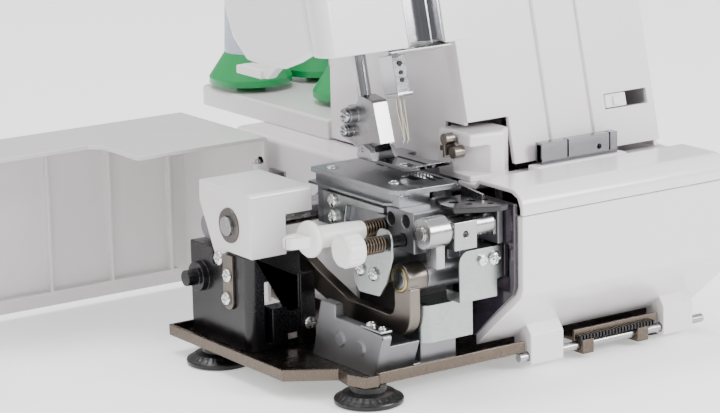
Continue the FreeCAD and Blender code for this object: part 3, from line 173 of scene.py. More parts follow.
def brushed(name, color, rough, stretch, spread=0.12):
    """Ground or plated metal with lines along one way and faint stains."""
    shade = Shade(name)
    lines = shade.noise(260, stretch, 2.0)
    stains = shade.noise(60, detail=4.0)
    tone = shade.color(tint(color, 1 - spread), tint(color, 1 + spread), lines * 0.5 + stains * 0.5)
    relief = shade.bump(lines, 0.05, 0.00006)
    gloss = (lines - 0.5) * 0.08 + (stains - 0.5) * 0.12 + rough
    return shade.set(Base_Color=tone, Roughness=gloss, Metallic=1.0, Normal=relief)


def wound(name, color):
    """Thread laid round a cone in close turns."""
    shade = Shade(name)
    upright = {"bands_direction": "Z"}
    turns = shade.make("ShaderNodeTexWave", 1, upright, Vector=shade.place, Scale=420.0, Distortion=1.5)
    fuzz = shade.noise(700)
    tone = shade.color(tint(color, 0.8), color, turns * 0.6 + fuzz * 0.4)
    relief = shade.bump(turns * 0.7 + fuzz * 0.3, 0.6, 0.0004)
    return shade.set(Base_Color=tone, Roughness=fuzz * 0.2 + 0.6, Sheen_Weight=0.3, Normal=relief)


def smoked(name):
    """Dark translucent plastic."""
    shade = Shade(name)
    cloud = shade.noise(40)
    tone = shade.color((0.018, 0.012, 0.020), (0.045, 0.034, 0.05), cloud)
    gloss = (cloud - 0.5) * 0.1 + 0.16
    return shade.set(Base_Color=tone, Roughness=gloss, Coat_Weight=0.6, Alpha=cloud * 0.06 + 0.9)


PAINT = {
    "white_paint": plain("white_paint", (0.82, 0.785, 0.79), 0.22, coat=0.5, grain=1400, depth=0.06,
                         spread=0.012),
    "smoke_plastic": smoked("smoke_plastic"),
    "base_steel": brushed("base_steel", (0.13, 0.105, 0.085), 0.27, (1, 6, 1), 0.25),
    "black_rubber": plain("black_rubber", (0.0035, 0.0035, 0.0045), 0.38, grain=1200, depth=0.4),
    "cast_frame": cast_metal("cast_frame", (0.27, 0.27, 0.285), 0.38, 0.9),
    "bright_steel": brushed("bright_steel", (0.40, 0.40, 0.41), 0.27, (1, 10, 1), 0.2),
    "chrome": brushed("chrome", (0.46, 0.46, 0.48), 0.13, (1, 1, 8), 0.06),
    "white_plastic": plain("white_plastic", (0.86, 0.84, 0.83), 0.38, coat=0.1, grain=1600, depth=0.15,
                           spread=0.02),
    "black_plastic": plain("black_plastic", (0.004, 0.0035, 0.005), 0.26, grain=1300, depth=0.25),
    "black_metal": plain("black_metal", (0.006, 0.006, 0.007), 0.22, coat=0.3, grain=1100, depth=0.2),
    "brown_metal": brushed("brown_metal", (0.20, 0.175, 0.155), 0.34, (1, 4, 1), 0.12),
    "green_plastic": plain("green_plastic", (0.0, 0.30, 0.075), 0.35, coat=0.2, grain=1500, depth=0.1,
                           spread=0.05),
    "thread": wound("thread", (0.62, 0.68, 0.80)),
    "belt_rubber": plain("belt_rubber", (0.03, 0.03, 0.03), 0.6, grain=900, depth=0.5),
}
GALVANISED = brushed("galvanised", (0.38, 0.41, 0.40), 0.30, (1, 1, 3), 0.28)
ZINC = brushed("zinc", (0.74, 0.75, 0.74), 0.20, (2, 2, 2), 0.08)
PLATE_STEEL = brushed("plate_steel", (0.29, 0.30, 0.315), 0.29, (1, 14, 1), 0.07)
SPRING_WIRE = brushed("spring_wire", (0.16, 0.12, 0.085), 0.30, (3, 3, 3), 0.2)
DARK_STEEL = plain("dark_steel", (0.012, 0.012, 0.014), 0.25, metal=0.3, grain=1000, depth=0.2)
DARK_BUSH = brushed("bush_steel", (0.16, 0.15, 0.14), 0.32, (3, 3, 3), 0.2)
GUIDE_STEEL = brushed("guide_steel", (0.20, 0.20, 0.215), 0.17, (8, 1, 1), 0.12)
BRASS = brushed("brass", (0.42, 0.34, 0.16), 0.3, (2, 2, 2), 0.1)
INK = plain("ink", (0.10, 0.10, 0.11), 0.6, grain=1500, depth=0.1)
RED_PAINT = plain("red_paint", (0.75, 0.03, 0.12), 0.4, grain=900, depth=0.1)
CREAM = plain("cream_thread", (0.74, 0.66, 0.48), 0.7, grain=2500, depth=0.5)

# ------------------------------------------------------------------------------------- geometry


def finish_mesh(name, mesh, node_or_body, slot, material=None, replaces=()):
    """Put a finished mesh in the scene on its body's empty, and hide the CAD parts it replaces."""
    mesh.materials.clear()
    mesh.materials.append(material or PAINT[slot])
    item = bpy.data.objects.new(name, mesh)
    bpy.context.scene.collection.objects.link(item)
    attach(item, body_of_node.get(node_or_body, node_or_body))
    if replaces:
        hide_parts(*replaces)
    return item


def evaluated(item):
    """The mesh that an object's modifiers leave, with the object removed."""
    bpy.context.view_layer.update()
    graph = bpy.context.evaluated_depsgraph_get()
    mesh = bpy.data.meshes.new_from_object(item.evaluated_get(graph))
    bpy.data.objects.remove(item)
    return mesh


def softened(mesh, width, segments=2, angle=32):
    """Round every sharp edge a little and even out the shading."""
    item = bpy.data.objects.new("working", mesh)
    bpy.context.scene.collection.objects.link(item)
    for polygon in mesh.polygons:
        polygon.use_smooth = True
    edge = item.modifiers.new("edge", "BEVEL")
    edge.width = width / 1000
    edge.segments = segments
    edge.limit_method = "ANGLE"
    edge.angle_limit = math.radians(angle)
    edge.use_clamp_overlap = False
    edge.miter_outer = "MITER_ARC"
    weigh = item.modifiers.new("weigh", "WEIGHTED_NORMAL")
    weigh.keep_sharp = False
    return evaluated(item)


def cad_mesh(node, rounds=()):
    """A CAD node's mesh joined up, flat faces merged, with some edges rounded by (test, radius)."""
    work = bmesh.new()
    work.from_mesh(frame["nodes"][node].data)
    bmesh.ops.remove_doubles(work, verts=work.verts, dist=2e-6)
    bmesh.ops.dissolve_degenerate(work, dist=1e-6, edges=work.edges)
    bmesh.ops.dissolve_limit(work, angle_limit=math.radians(0.4), verts=work.verts, edges=work.edges)
    for test, radius, segments in rounds:
        chosen = []
        for edge in work.edges:
            if len(edge.link_faces) == 2 and edge.calc_face_angle(0) > 0.6 and edge.calc_length() > 0.004:
                if test((edge.verts[0].co - FOOT) * 1000, (edge.verts[1].co - FOOT) * 1000):
                    chosen.append(edge)
        if chosen:
            bmesh.ops.bevel(work, geom=chosen, offset=radius / 1000, segments=segments, affect="EDGES",
                            profile=0.5, clamp_overlap=True)
    mesh = bpy.data.meshes.new(node)
    work.to_mesh(mesh)
    work.free()
    return mesh


def skin(node, width=0.35, material=None, rounds=(), segments=2):
    mesh = softened(cad_mesh(node, rounds), width, segments)
    return finish_mesh(node + "_skin", mesh, node, slot_of_node[node], material, [node])


def lathe(profile, steps=72, flutes=0, flute_depth=0.0, flute_range=(0, 0), open_middle=False):
    """Turn (along, radius) pairs in millimetres about X, with flutes on part of it or an open middle."""
    work = bmesh.new()
    rings = []
    for along, radius in profile:
        ring = []
        for k in range(steps):
            turn = 2 * math.pi * k / steps
            size = radius
            if flutes and flute_range[0] <= along <= flute_range[1]:
                size -= flute_depth * max(0.0, math.cos(flutes * turn)) ** 3
            ring.append(work.verts.new(Vector((along, size * math.cos(turn), size * math.sin(turn))) / 1000))
        rings.append(ring)
    pairs = list(zip(rings, rings[1:]))
    if open_middle:
        pairs.append((rings[-1], rings[0]))
    for near, far in pairs:
        for k in range(steps):
            j = (k + 1) % steps
            work.faces.new((near[k], far[k], far[j], near[j]))
    if not open_middle:
        work.faces.new(rings[0])
        work.faces.new(rings[-1][::-1])
    bmesh.ops.remove_doubles(work, verts=work.verts, dist=1e-7)
    bmesh.ops.recalc_face_normals(work, faces=work.faces)
    mesh = bpy.data.meshes.new("turned")
    work.to_mesh(mesh)
    work.free()
    return mesh


def moved(mesh, place, turn=None):
    matrix = Matrix.Translation(place)
    if turn is not None:
        matrix = matrix @ turn.to_4x4()
    mesh.transform(matrix)
    return mesh


def joined(*meshes):
    work = bmesh.new()
    for mesh in meshes:
        work.from_mesh(mesh)
    result = bpy.data.meshes.new("joined")
    work.to_mesh(result)
    work.free()
    return result


def box_mesh(low, high):
    """A box between two points given in millimetres from the front left foot."""
    work = bmesh.new()
    bmesh.ops.create_cube(work, size=1)
    a, b = at(*low), at(*high)
    work.transform(Matrix.Translation((a + b) / 2) @ Matrix.Diagonal((*(b - a), 1)))
    mesh = bpy.data.meshes.new("box")
    work.to_mesh(mesh)
    work.free()
    return mesh


def prism_mesh(outline, low, high, axis):
    """An outline raised between two levels along X, Y or Z, in millimetres from the front left foot."""
    def spot(u, v, level):
        return {"X": (level, u, v), "Y": (u, level, v), "Z": (u, v, level)}[axis]

    work = bmesh.new()
    ends = [[work.verts.new(at(*spot(u, v, level))) for u, v in outline] for level in (low, high)]
    work.faces.new(ends[0])
    work.faces.new(ends[1][::-1])
    for k in range(len(outline)):
        j = (k + 1) % len(outline)
        work.faces.new((ends[0][k], ends[0][j], ends[1][j], ends[1][k]))
    bmesh.ops.recalc_face_normals(work, faces=work.faces)
    mesh = bpy.data.meshes.new("prism")
    work.to_mesh(mesh)
    work.free()
    return mesh


def tube_mesh(points, radius, steps=10):
    """A round wire through points given in millimetres from the front left foot."""
    curve = bpy.data.curves.new("wire", "CURVE")
    curve.dimensions = "3D"
    curve.bevel_depth = radius / 1000
    curve.bevel_resolution = max(1, steps // 4)
    curve.use_fill_caps = True
    spline = curve.splines.new("POLY")
    spline.points.add(len(points) - 1)
    for point, spot in zip(spline.points, points):
        point.co = (*at(*spot), 1)
    item = bpy.data.objects.new("wire", curve)
    bpy.context.scene.collection.objects.link(item)
    mesh = evaluated(item)
    for polygon in mesh.polygons:
        polygon.use_smooth = True
    return mesh


# -------------------------------------------------------------------------------- node groups


def tree_with(name, inputs):
    tree = bpy.data.node_groups.new(name, "GeometryNodeTree")
    tree.interface.new_socket("Geometry", in_out="INPUT", socket_type="NodeSocketGeometry")
    for label, kind, value in inputs:
        socket = tree.interface.new_socket(label, in_out="INPUT", socket_type=kind)
        if value is not None:
            socket.default_value = value
    tree.interface.new_socket("Geometry", in_out="OUTPUT", socket_type="NodeSocketGeometry")
    source = tree.nodes.new("NodeGroupInput")
    sink = tree.nodes.new("NodeGroupOutput")
    return tree, source, sink


def scatter_tree():
    """Copies of one object on points, each turned to its own axis and scaled to its own size."""
    tree, source, sink = tree_with("placed_copies", [("Piece", "NodeSocketObject", None),
                                                     ("Finish", "NodeSocketMaterial", None)])
    info = tree.nodes.new("GeometryNodeObjectInfo")
    put = tree.nodes.new("GeometryNodeInstanceOnPoints")
    lean = tree.nodes.new("FunctionNodeAlignRotationToVector")
    lean.axis = "X"
    ways = tree.nodes.new("GeometryNodeInputNamedAttribute")
    ways.data_type = "FLOAT_VECTOR"
    ways.inputs["Name"].default_value = "facing"
    sizes = tree.nodes.new("GeometryNodeInputNamedAttribute")
    sizes.data_type = "FLOAT"
    sizes.inputs["Name"].default_value = "size"
    real = tree.nodes.new("GeometryNodeRealizeInstances")
    paint = tree.nodes.new("GeometryNodeSetMaterial")
    link = tree.links.new
    link(source.outputs["Piece"], info.inputs["Object"])
    link(source.outputs["Geometry"], put.inputs["Points"])
    link(info.outputs["Geometry"], put.inputs["Instance"])
    link(ways.outputs["Attribute"], lean.inputs["Vector"])
    link(lean.outputs["Rotation"], put.inputs["Rotation"])
    link(sizes.outputs["Attribute"], put.inputs["Scale"])
    link(put.outputs["Instances"], real.inputs["Geometry"])
    link(real.outputs["Geometry"], paint.inputs["Geometry"])
    link(source.outputs["Finish"], paint.inputs["Material"])
    link(paint.outputs["Geometry"], sink.inputs["Geometry"])
    return tree


def spring_tree():
    """Coil of round wire along X."""
    numbers = [("Turns", "NodeSocketFloat", 8.0), ("Radius", "NodeSocketFloat", 0.004),
               ("Length", "NodeSocketFloat", 0.012), ("Wire", "NodeSocketFloat", 0.0004)]
    tree, source, sink = tree_with("coil_spring", numbers + [("Finish", "NodeSocketMaterial", None)])
    coil = tree.nodes.new("GeometryNodeCurveSpiral")
    coil.inputs["Resolution"].default_value = 28
    ring = tree.nodes.new("GeometryNodeCurvePrimitiveCircle")
    ring.inputs["Resolution"].default_value = 10
    sweep = tree.nodes.new("GeometryNodeCurveToMesh")
    sweep.inputs["Fill Caps"].default_value = True
    lay = tree.nodes.new("GeometryNodeTransform")
    lay.inputs["Rotation"].default_value = (0, math.radians(90), 0)
    smooth = tree.nodes.new("GeometryNodeSetShadeSmooth")
    real = tree.nodes.new("GeometryNodeRealizeInstances")
    paint = tree.nodes.new("GeometryNodeSetMaterial")
    link = tree.links.new
    link(source.outputs["Turns"], coil.inputs["Rotations"])
    link(source.outputs["Radius"], coil.inputs["Start Radius"])
    link(source.outputs["Radius"], coil.inputs["End Radius"])
    link(source.outputs["Length"], coil.inputs["Height"])
    link(source.outputs["Wire"], ring.inputs["Radius"])
    link(coil.outputs["Curve"], sweep.inputs["Curve"])
    link(ring.outputs["Curve"], sweep.inputs["Profile Curve"])
    link(sweep.outputs["Mesh"], smooth.inputs["Geometry"])
    link(smooth.outputs["Geometry"], lay.inputs["Geometry"])
    link(lay.outputs["Geometry"], real.inputs["Geometry"])
    link(real.outputs["Geometry"], paint.inputs["Geometry"])
    link(source.outputs["Finish"], paint.inputs["Material"])
    link(paint.outputs["Geometry"], sink.inputs["Geometry"])
    return tree


def run_nodes(tree, mesh, **values):
    """The mesh that a node group makes from a mesh and named inputs."""
    item = bpy.data.objects.new("grown", mesh)
    bpy.context.scene.collection.objects.link(item)
    grow = item.modifiers.new("grow", "NODES")
    grow.node_group = tree
    for socket in tree.interface.items_tree:
        if socket.in_out == "INPUT" and socket.name in values:
            grow[socket.identifier] = values[socket.name]
    return evaluated(item)


PLACED = scatter_tree()
COIL = spring_tree()


def copies(piece, spots, material):
    """One mesh with a copy of a piece at each (point, facing, size)."""
    stamp = bpy.data.objects.new("stamp", piece)
    bpy.context.scene.collection.objects.link(stamp)
    points = bpy.data.meshes.new("spots")
    points.from_pydata([spot[0] for spot in spots], [], [])
    facing = points.attributes.new("facing", "FLOAT_VECTOR", "POINT")
    facing.data.foreach_set("vector", [c for spot in spots for c in spot[1]])
    size = points.attributes.new("size", "FLOAT", "POINT")
    size.data.foreach_set("value", [spot[2] for spot in spots])
    mesh = run_nodes(PLACED, points, Piece=stamp, Finish=material)
    bpy.data.objects.remove(stamp)
    return mesh


def spring(start, turns, radius, length, wire, material):
    base = bpy.data.meshes.new("empty")
    sizes = {"Radius": radius / 1000, "Length": length / 1000, "Wire": wire / 1000}
    mesh = run_nodes(COIL, base, Turns=float(turns), Finish=material, **sizes)
    return moved(mesh, at(*start))


# --------------------------------------------------------------------------------- screw shapes


def cross_head():
    """Pan screw head of radius 1 mm facing +X with a cross recess, on a small washer face."""
    head = lathe([(0, 0.98), (0.28, 1.0), (0.42, 0.93), (0.55, 0.72), (0.62, 0.4), (0.64, 0.0001)], 40)
    item = bpy.data.objects.new("head", head)
    bpy.context.scene.collection.objects.link(item)
    slots = []
    for half_y, half_z in ((0.62, 0.13), (0.13, 0.62)):
        work = bmesh.new()
        bmesh.ops.create_cube(work, size=1)
        size = Matrix.Diagonal((0.0007, half_y * 0.002, half_z * 0.002, 1))
        work.transform(Matrix.Translation((0.00055, 0, 0)) @ size)
        mesh = bpy.data.meshes.new("slot")
        work.to_mesh(mesh)
        work.free()
        tool = bpy.data.objects.new("slot", mesh)
        bpy.context.scene.collection.objects.link(tool)
        slots.append(tool)
        cut = item.modifiers.new("cut", "BOOLEAN")
        cut.operation = "DIFFERENCE"
        cut.object = tool
    mesh = evaluated(item)
    for tool in slots:
        bpy.data.objects.remove(tool)
    return softened(mesh, 0.03, 1, 40)


CROSS = cross_head()
LEFT, FRONT, UP = (-1, 0, 0), (0, -1, 0), (0, 0, 1)


# Each screw: its place from the front left foot, the way its head faces and its head's radius
COVER_SCREWS = (
    ((-22.6, 110.6, 61.2), LEFT, 4.2),
    ((-24.4, 99.5, 53.7), LEFT, 4.0),
    ((-24.4, 101, 40.1), LEFT, 4.0),
    ((27, 69.5, 94.2), LEFT, 3.9),
    ((27, 69.5, 85.4), LEFT, 3.9),
    ((14.5, 25.8, 66), LEFT, 3.9),
    ((14.5, 13.5, 65.5), LEFT, 3.9),
    ((16, 80, 24), FRONT, 3.9),
    ((68, -22.2, 73), FRONT, 3.9),
)
PLATE_SCREWS = (((37.7, 26.7, 109.25), UP, 3.1), ((33, 80, 109.25), UP, 3.1))
HOLDER_SCREWS = (((44, 80, 138), LEFT, 4.4), ((45.5, 84, 128.5), LEFT, 3.4))
CLAMP_SCREWS = (((8, 8, 39.4), UP, 2.9), ((8, -2.5, 39.4), UP, 2.2))
BRACKET_NUT = (60, -22.2, 73)


def screw_row(screws, material):
    return copies(CROSS, [(at(*place), facing, radius) for place, facing, radius in screws], material)


def make_screws():
    """Cross-head screws on the covers, the plate and the foot holder, and the front bracket's nut."""
    nut = lathe([(0, 3.2), (1.6, 3.2), (1.9, 2.6), (1.9, 1.5), (1.2, 1.4), (1.2, 0.001)], 6)
    nut = moved(nut, at(*BRACKET_NUT), Matrix.Rotation(math.radians(-90), 3, "Z"))
    heads = joined(screw_row(COVER_SCREWS, ZINC), softened(nut, 0.15))
    finish_mesh("screw_heads_skin", heads, "screw_heads", "bright_steel", ZINC, ["screw_heads"])
    finish_mesh("plate_screws", screw_row(PLATE_SCREWS, ZINC), "needle_plate", "bright_steel", ZINC)
    finish_mesh("holder_screws", screw_row(HOLDER_SCREWS, PAINT["chrome"]), "foot_holder", "chrome")


# ---------------------------------------------------------------------------------- carried over


def near(value, target, slack=0.4):
    return abs(value - target) < slack


def both(a, b, axis, level, slack=0.4):
    return near(a[axis], level, slack) and near(b[axis], level, slack)


def limits(node):
    low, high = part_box(node)
    return (low - FOOT) * 1000, (high - FOOT) * 1000


def outer_rounds(node, radius, sides, segments=5):
    """Round the outer edges where two of a node's chosen sides meet, such as 'X+Z+'."""
    low, high = limits(node)
    rounds = []
    for pair in sides:
        levels = []
        for name in (pair[:2], pair[2:]):
            axis = "XYZ".index(name[0])
            levels.append((axis, (high if name[1] == "+" else low)[axis]))

        def test(a, b, levels=tuple(levels)):
            return all(both(a, b, axis, level) for axis, level in levels)

        rounds.append((test, radius, segments))
    return rounds


COVER_EDGES = {
    "side_cover": (3.2, ["Y+Z+", "X-Z+", "X-Y+", "X+Y+"]),
    "tower_case": (4.0, ["X+Z+", "X-Z+", "X+Y+", "X-Y+"]),
    "box_cover": (3.0, ["X-Z+", "Y-Z+", "X-Y-"]),
}
FINE = {
    "side_cover": 0.5, "front_cover": 0.7, "bed_top": 0.7, "tower_case": 0.6, "tension_panel": 0.5,
    "head_cover": 0.6, "head_front_cover": 0.8, "base_cover": 0.8, "box_cover": 0.4, "spool_tray": 0.6,
    "guide_block": 0.9,
    "base_plate": 0.35, "black_housing": 0.5, "needle_plate": 0.3, "bed_casting": 0.6, "lower_casting": 0.7,
    "rocking_arm": 0.7, "rocking_block": 0.5, "thread_channel": 0.15, "box_guide": 0.15, "presser_foot": 0.18,
    "foot_holder": 0.35, "needle_bar": 0.3, "upper_knife": 0.1, "spring_bracket": 0.2, "front_bracket": 0.2,
    "guard_plate": 0.2, "support_bracket": 0.3, "feed_dogs": 0.08, "handwheel": 0.5, "presser_lever": 0.8,
    "knife_guard": 0.4, "smoke_end_wall": 0.4, "stitch_slider": 0.6, "power_switch": 0.4,
}
OTHER_FINISH = {
    "shaft_bushes": DARK_BUSH,
    "guard_plate": GALVANISED, "front_bracket": GALVANISED, "spring_bracket": GALVANISED,
    "support_bracket": GALVANISED, "needle_plate": PLATE_STEEL, "box_guide": GUIDE_STEEL,
    "housing_strap": PAINT["brown_metal"], "presser_bar": PAINT["chrome"],
    "presser_foot": PAINT["chrome"], "foot_holder": PAINT["bright_steel"], "needle_bar": PAINT["chrome"],
}
OWN_SHAPE = {"screw_heads", "stem_springs", "width_dial", "release_knob", "rubber_feet", "thread_cones",
             "needles"}


def make_skins():
    for node in sorted(frame["nodes"]):
        if node in OWN_SHAPE:
            continue
        radius, sides = COVER_EDGES.get(node, (0, []))
        rounds = outer_rounds(node, radius, sides) if sides else ()
        skin(node, FINE.get(node, 0.3), OTHER_FINISH.get(node), rounds)


# --------------------------------------------------------------------------------- own shapes


FEET = ((0, 0), (-22.5, 114), (204, 22), (204, 205))
CONE_PINS = ((107, 278), (159.5, 278), (130, 196), (183, 196))
CENTRE = 0.001  # a turned outline ends this close to its axis
HEAD_LEAN = math.radians(13.5)  # how far the needle bar leans back from upright


def make_feet():
    """Stepped rubber feet with a notched flange."""
    top = limits("rubber_feet")[1].z
    flange = [(0, 17.5), (0.6, 18.7), (2.6, 19), (3.4, 18.6), (4.4, 16.5), (5.4, 15.2)]
    neck = [(6.2, 14.2), (6.7, 11.5), (7.2, 9.8), (top, 9.6)]
    profile = [(0, CENTRE)] + flange + neck + [(top, CENTRE)]
    foot = softened(lathe(profile, 96, 24, 0.7, (4.0, 5.6)), 0.12, 1, 25)
    spots = [(at(x, y, 0), UP, 1.0) for x, y in FEET]
    mesh = copies(foot, spots, PAINT["black_rubber"])
    finish_mesh("feet", mesh, "rubber_feet", "black_rubber", None, ["rubber_feet"])


def make_cones():
    """Wound thread cones, one on each pin."""
    low, high = limits("thread_cones")
    top = high.z - low.z
    side = [(0, 4), (0, 15.9), (2, 16), (top - 4, 13.4)]
    crown = [(top - 1, 12.6), (top - 1, 9), (top, 8.6), (top, 4), (top - 3, 3.9)]
    cone = softened(lathe(side + crown, 80), 0.3)
    spots = [(at(x, y, low.z), UP, 1.0) for x, y in CONE_PINS]
    mesh = copies(cone, spots, PAINT["thread"])
    finish_mesh("thread_cones_skin", mesh, "thread_cones", "thread", None, ["thread_cones"])


def make_stem(name, node, start, radius, y, z):
    """The dark stem that runs from a grip into the casting."""
    end = limits(node)[1].x
    stem = softened(lathe([(start, CENTRE), (start, radius), (end, radius), (end, CENTRE)]), 0.2)
    finish_mesh(name, moved(stem, at(0, y, z)), node, "black_metal", DARK_STEEL)


def axis_of(joint):
    """Y and Z of a joint's axis, in millimetres from the front left foot."""
    return ((Vector(JOINTS[joint]["pos_m"]) - FOOT) * 1000)[1:]


def make_knob():
    """Release knob: two prongs with a slot, a disc and a stepped sleeve. Returns its spring."""
    y, z = axis_of("release_knob_turn")
    disc = [(-26.5, 3), (-26, 5.2), (-24.5, 8.2), (-22.6, 9.8), (-20.6, 10), (-19, 9.2), (-17, 6.8)]
    sleeve = [(-14, 6.0), (2, 5.7), (12.2, 5.0), (12.5, 4.6)]
    grip = softened(lathe([(-26.5, CENTRE)] + disc + sleeve + [(12.5, CENTRE)], 72), 0.4)
    prongs = []
    for side in (-1, 1):
        outer = [(-37.6, 1.5), (-36.0, 4.2), (-30, 6.2), (-23, 7.0)]
        inner = [(-23, 0), (-29.5, 0), (-29.5, 1.2), (-37.6, 1.2)]
        half = [(x, y + side * away) for x, away in outer + inner]
        prongs.append(softened(prism_mesh(half, z - 3.1, z + 3.1, "Z"), 0.9, 3))
    white = joined(moved(grip, at(0, y, z)), joined(*prongs))
    finish_mesh("release_knob_grip", white, "release_knob", "white_plastic", None, ["release_knob"])
    make_stem("release_knob_stem", "release_knob", 12, 3.1, y, z)
    return spring((13.2, y, z), 7, 4.2, 13, 0.45, SPRING_WIRE)


def make_dial():
    """Width dial with twelve flutes round its grip. Returns its spring."""
    y, z = axis_of("width_dial_turn")
    face = [(-14, 7.4), (-13.4, 8.4), (-12.4, 8.9), (-11.8, 9.3)]
    back = [(-4.5, 9.3), (-3.2, 9.0), (-2.4, 8.4), (-1.5, 7.0)]
    turned = lathe([(-14, CENTRE)] + face + back + [(-1.5, CENTRE)], 144, 12, 1.1, (-12.6, -3.0))
    grip = moved(softened(turned, 0.15, 1, 40), at(0, y, z))
    finish_mesh("width_dial_grip", grip, "width_dial", "white_plastic", None, ["width_dial"])
    make_stem("width_dial_stem", "width_dial", -2, 3.3, y, z)
    return spring((-0.6, y, z), 8, 4.3, 14.4, 0.45, SPRING_WIRE)


def make_stems():
    """Both grips on their stems, with their coil springs."""
    coils = joined(make_knob(), make_dial())
    finish_mesh("coil_springs", coils, "stem_springs", "bright_steel", SPRING_WIRE, ["stem_springs"])


def make_needles():
    """Needles with thread led from the clamp to each eye, and dark discs painted as the shade in the clamp's face
    holes.
    """
    mesh = softened(cad_mesh("needles"), 0.03, 1)
    finish_mesh("needles_skin", mesh, "needles", "bright_steel", PAINT["chrome"], ["needles"])
    lean = math.tan(HEAD_LEAN)
    for number, x in enumerate((51.7, 54.5)):
        def on(z, off=0.0, x=x):
            return (x + off, 43.2 - lean * (155 - z) - 1.1, z)
        path = [on(152, -1.2), on(146, -1.6), on(138, -0.6), on(131, -0.1), on(129.5, 0)]
        back = [on(152, 1.0), on(144, 0.9), on(135, 0.7), on(129.8, 0.1)]
        both_threads = joined(tube_mesh(path, 0.22), tube_mesh(back, 0.22))
        finish_mesh("needle_thread_%d" % number, both_threads, "needles", "thread", CREAM)
    # Thin near-black discs on the clamp's face are painted shade, standing in for the dark inside its holes
    hole_shade_discs = []
    for along, radius in ((16, 1.6), (11, 1.3), (7, 1.3)):
        disc = lathe([(0, CENTRE), (0, radius), (0.25, radius), (0.25, CENTRE)], 24)
        y = 43.2 + along * math.sin(HEAD_LEAN) - 6.0 * math.cos(HEAD_LEAN) - 0.2
        z = 155 + along * math.cos(HEAD_LEAN) + 6.0 * math.sin(HEAD_LEAN)
        hole_shade_discs.append(moved(disc, at(53, y, z), Matrix.Rotation(math.radians(-90), 3, "Z")))
    finish_mesh("clamp_sockets", joined(*hole_shade_discs), "needle_bar", "black_metal", DARK_STEEL)


def make_details():
    """Small fittings that ride on their neighbours."""
    ring = lathe([(0, 5.3), (0, 6.6), (0.3, 7.1), (1.0, 7.1), (1.0, 5.3)], 64, open_middle=True)
    y, z = axis_of("rocking_arm_turn")
    clip = moved(softened(ring, 0.15), at(21.3, y, z))
    finish_mesh("arm_clip", clip, "rocking_arm", "brown_metal", BRASS)
    strap = box_mesh((4, -6.5, 38.1), (11.6, 12.5, 39.4))
    finish_mesh("clamp_strip", softened(strap, 0.4), "machine", "bright_steel", GALVANISED)
    finish_mesh("clamp_screws", screw_row(CLAMP_SCREWS, ZINC), "machine", "bright_steel", ZINC)
    bend = [(16.4, 184.2), (24, 185.0), (30, 183.4), (30, 182.6), (24, 184.0), (16.4, 183.2)]
    finish_mesh("head_strip", softened(prism_mesh(bend, 30, 70, "X"), 0.2), "machine", "chrome")
    fins = bpy.data.meshes.new("fin")
    work = bmesh.new()
    bmesh.ops.create_cube(work, size=1)
    work.transform(Matrix.Diagonal((0.004, 0.0012, 0.0028, 1)))
    work.to_mesh(fins)
    work.free()
    spots = [(at(128 + 2.3 * k, -6.6, 12.2), FRONT, 1.0) for k in range(5, 29)]
    finish_mesh("vent_fins", copies(fins, spots, PAINT["black_plastic"]), "machine", "black_plastic")
    mark = lathe([(0, CENTRE), (0, 1.5), (0.15, 1.4), (0.15, CENTRE)], 24)
    mark = moved(mark, at(72, 0, 103.5), Matrix.Rotation(math.radians(-90), 3, "Y"))
    finish_mesh("red_dot", mark, "machine", "black_metal", RED_PAINT)
    marks = []
    foot_y = 17.7 + 0.24 * (145 - 110)  # the leaning panel's face at the slider's height
    bar = [(foot_y - 0.12, 144), (foot_y + 0.5, 144), (foot_y + 1.2, 147), (foot_y + 0.6, 147)]
    for x in (187, 205, 207.5):
        marks.append(prism_mesh(bar, x - 0.35, x + 0.35, "X"))
    finish_mesh("slider_marks", joined(*marks), "machine", "black_plastic", INK)


make_skins()
make_screws()
make_feet()
make_cones()
make_stems()
make_needles()
make_details()

# --------------------------------------------------------------------------------------- studio


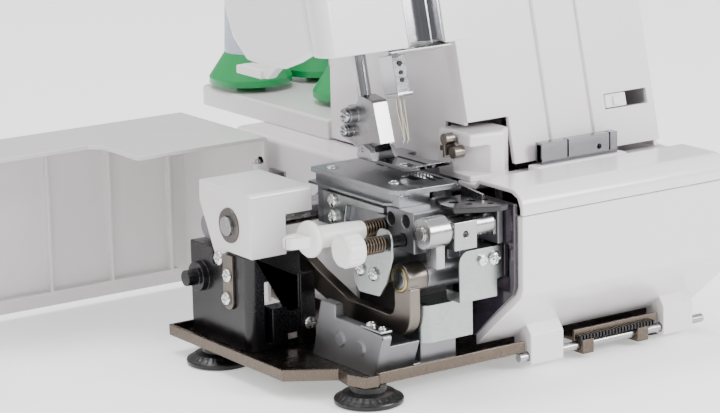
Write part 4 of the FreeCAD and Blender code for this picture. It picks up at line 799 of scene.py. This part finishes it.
def make_studio():
    floor = bpy.data.meshes.new("floor")
    floor.from_pydata([(-6, -6, 0), (6, -6, 0), (6, 6, 0), (-6, 6, 0)], [], [(0, 1, 2, 3)])
    surface = plain("floor", (0.95, 0.95, 0.95), 0.7, grain=60, depth=0.02, spread=0.005)
    shader = surface.node_tree.nodes["Principled BSDF"]
    shader.inputs["Emission Color"].default_value = (1, 1, 1, 1)
    shader.inputs["Emission Strength"].default_value = 0.5
    floor.materials.append(surface)
    ground = bpy.data.objects.new("floor", floor)
    bpy.context.scene.collection.objects.link(ground)
    world = bpy.data.worlds.new("studio")
    world.use_nodes = True
    tree = world.node_tree
    glow = tree.nodes["Background"]
    place = tree.nodes.new("ShaderNodeTexCoord")
    split = tree.nodes.new("ShaderNodeSeparateXYZ")
    fade = tree.nodes.new("ShaderNodeMapRange")
    fade.inputs["From Min"].default_value = -0.1
    fade.inputs["From Max"].default_value = 0.7
    fade.inputs["To Min"].default_value = 0.16
    fade.inputs["To Max"].default_value = 1.15
    wall = tree.nodes.new("ShaderNodeBackground")
    wall.inputs["Strength"].default_value = 7.0
    seen = tree.nodes.new("ShaderNodeLightPath")
    mix = tree.nodes.new("ShaderNodeMixShader")
    tree.links.new(place.outputs["Generated"], split.inputs[0])
    tree.links.new(split.outputs["Z"], fade.inputs["Value"])
    tree.links.new(fade.outputs[0], glow.inputs["Strength"])
    tree.links.new(seen.outputs["Is Camera Ray"], mix.inputs[0])
    tree.links.new(glow.outputs[0], mix.inputs[1])
    tree.links.new(wall.outputs[0], mix.inputs[2])
    tree.links.new(mix.outputs[0], tree.nodes["World Output"].inputs["Surface"])
    glow.inputs["Color"].default_value = (1, 1, 1, 1)
    wall.inputs["Color"].default_value = (1, 1, 1, 1)
    bpy.context.scene.world = world
    lamps = [
        ("key", (1.5, -2.5, 1.5), 1.2, 105),
        ("side", (-2.5, -0.7, 1.6), 0.9, 16),
        ("top", (-0.1, 0.6, 2.7), 1.3, 58),
    ]
    for name, place, size, power in lamps:
        light = bpy.data.lights.new(name, "AREA")
        light.size = size
        light.energy = power
        lamp = bpy.data.objects.new(name, light)
        lamp.location = place
        lamp.rotation_euler = (Vector((0, 0, 0.12)) - Vector(place)).to_track_quat("-Z", "Y").to_euler()
        bpy.context.scene.collection.objects.link(lamp)


def make_camera():
    yaw, dip, roll = math.radians(34.5), math.radians(13.3), math.radians(-1.17)
    ahead = Vector((math.sin(yaw) * math.cos(dip), math.cos(yaw) * math.cos(dip), -math.sin(dip)))
    flat = Vector((math.cos(yaw), -math.sin(yaw), 0))
    rise = flat.cross(ahead)
    right = flat * math.cos(roll) + rise * math.sin(roll)
    above = rise * math.cos(roll) - flat * math.sin(roll)
    lens = bpy.data.cameras.new("camera")
    lens.sensor_width = 36
    lens.lens = 140
    lens.clip_end = 50
    camera = bpy.data.objects.new("camera", lens)
    turn = Matrix((right, above, -ahead)).transposed()
    camera.matrix_world = Matrix.Translation(at(-814.5, -1180.4, 446.6)) @ turn.to_4x4()
    bpy.context.scene.collection.objects.link(camera)
    bpy.context.scene.camera = camera


make_studio()
make_camera()
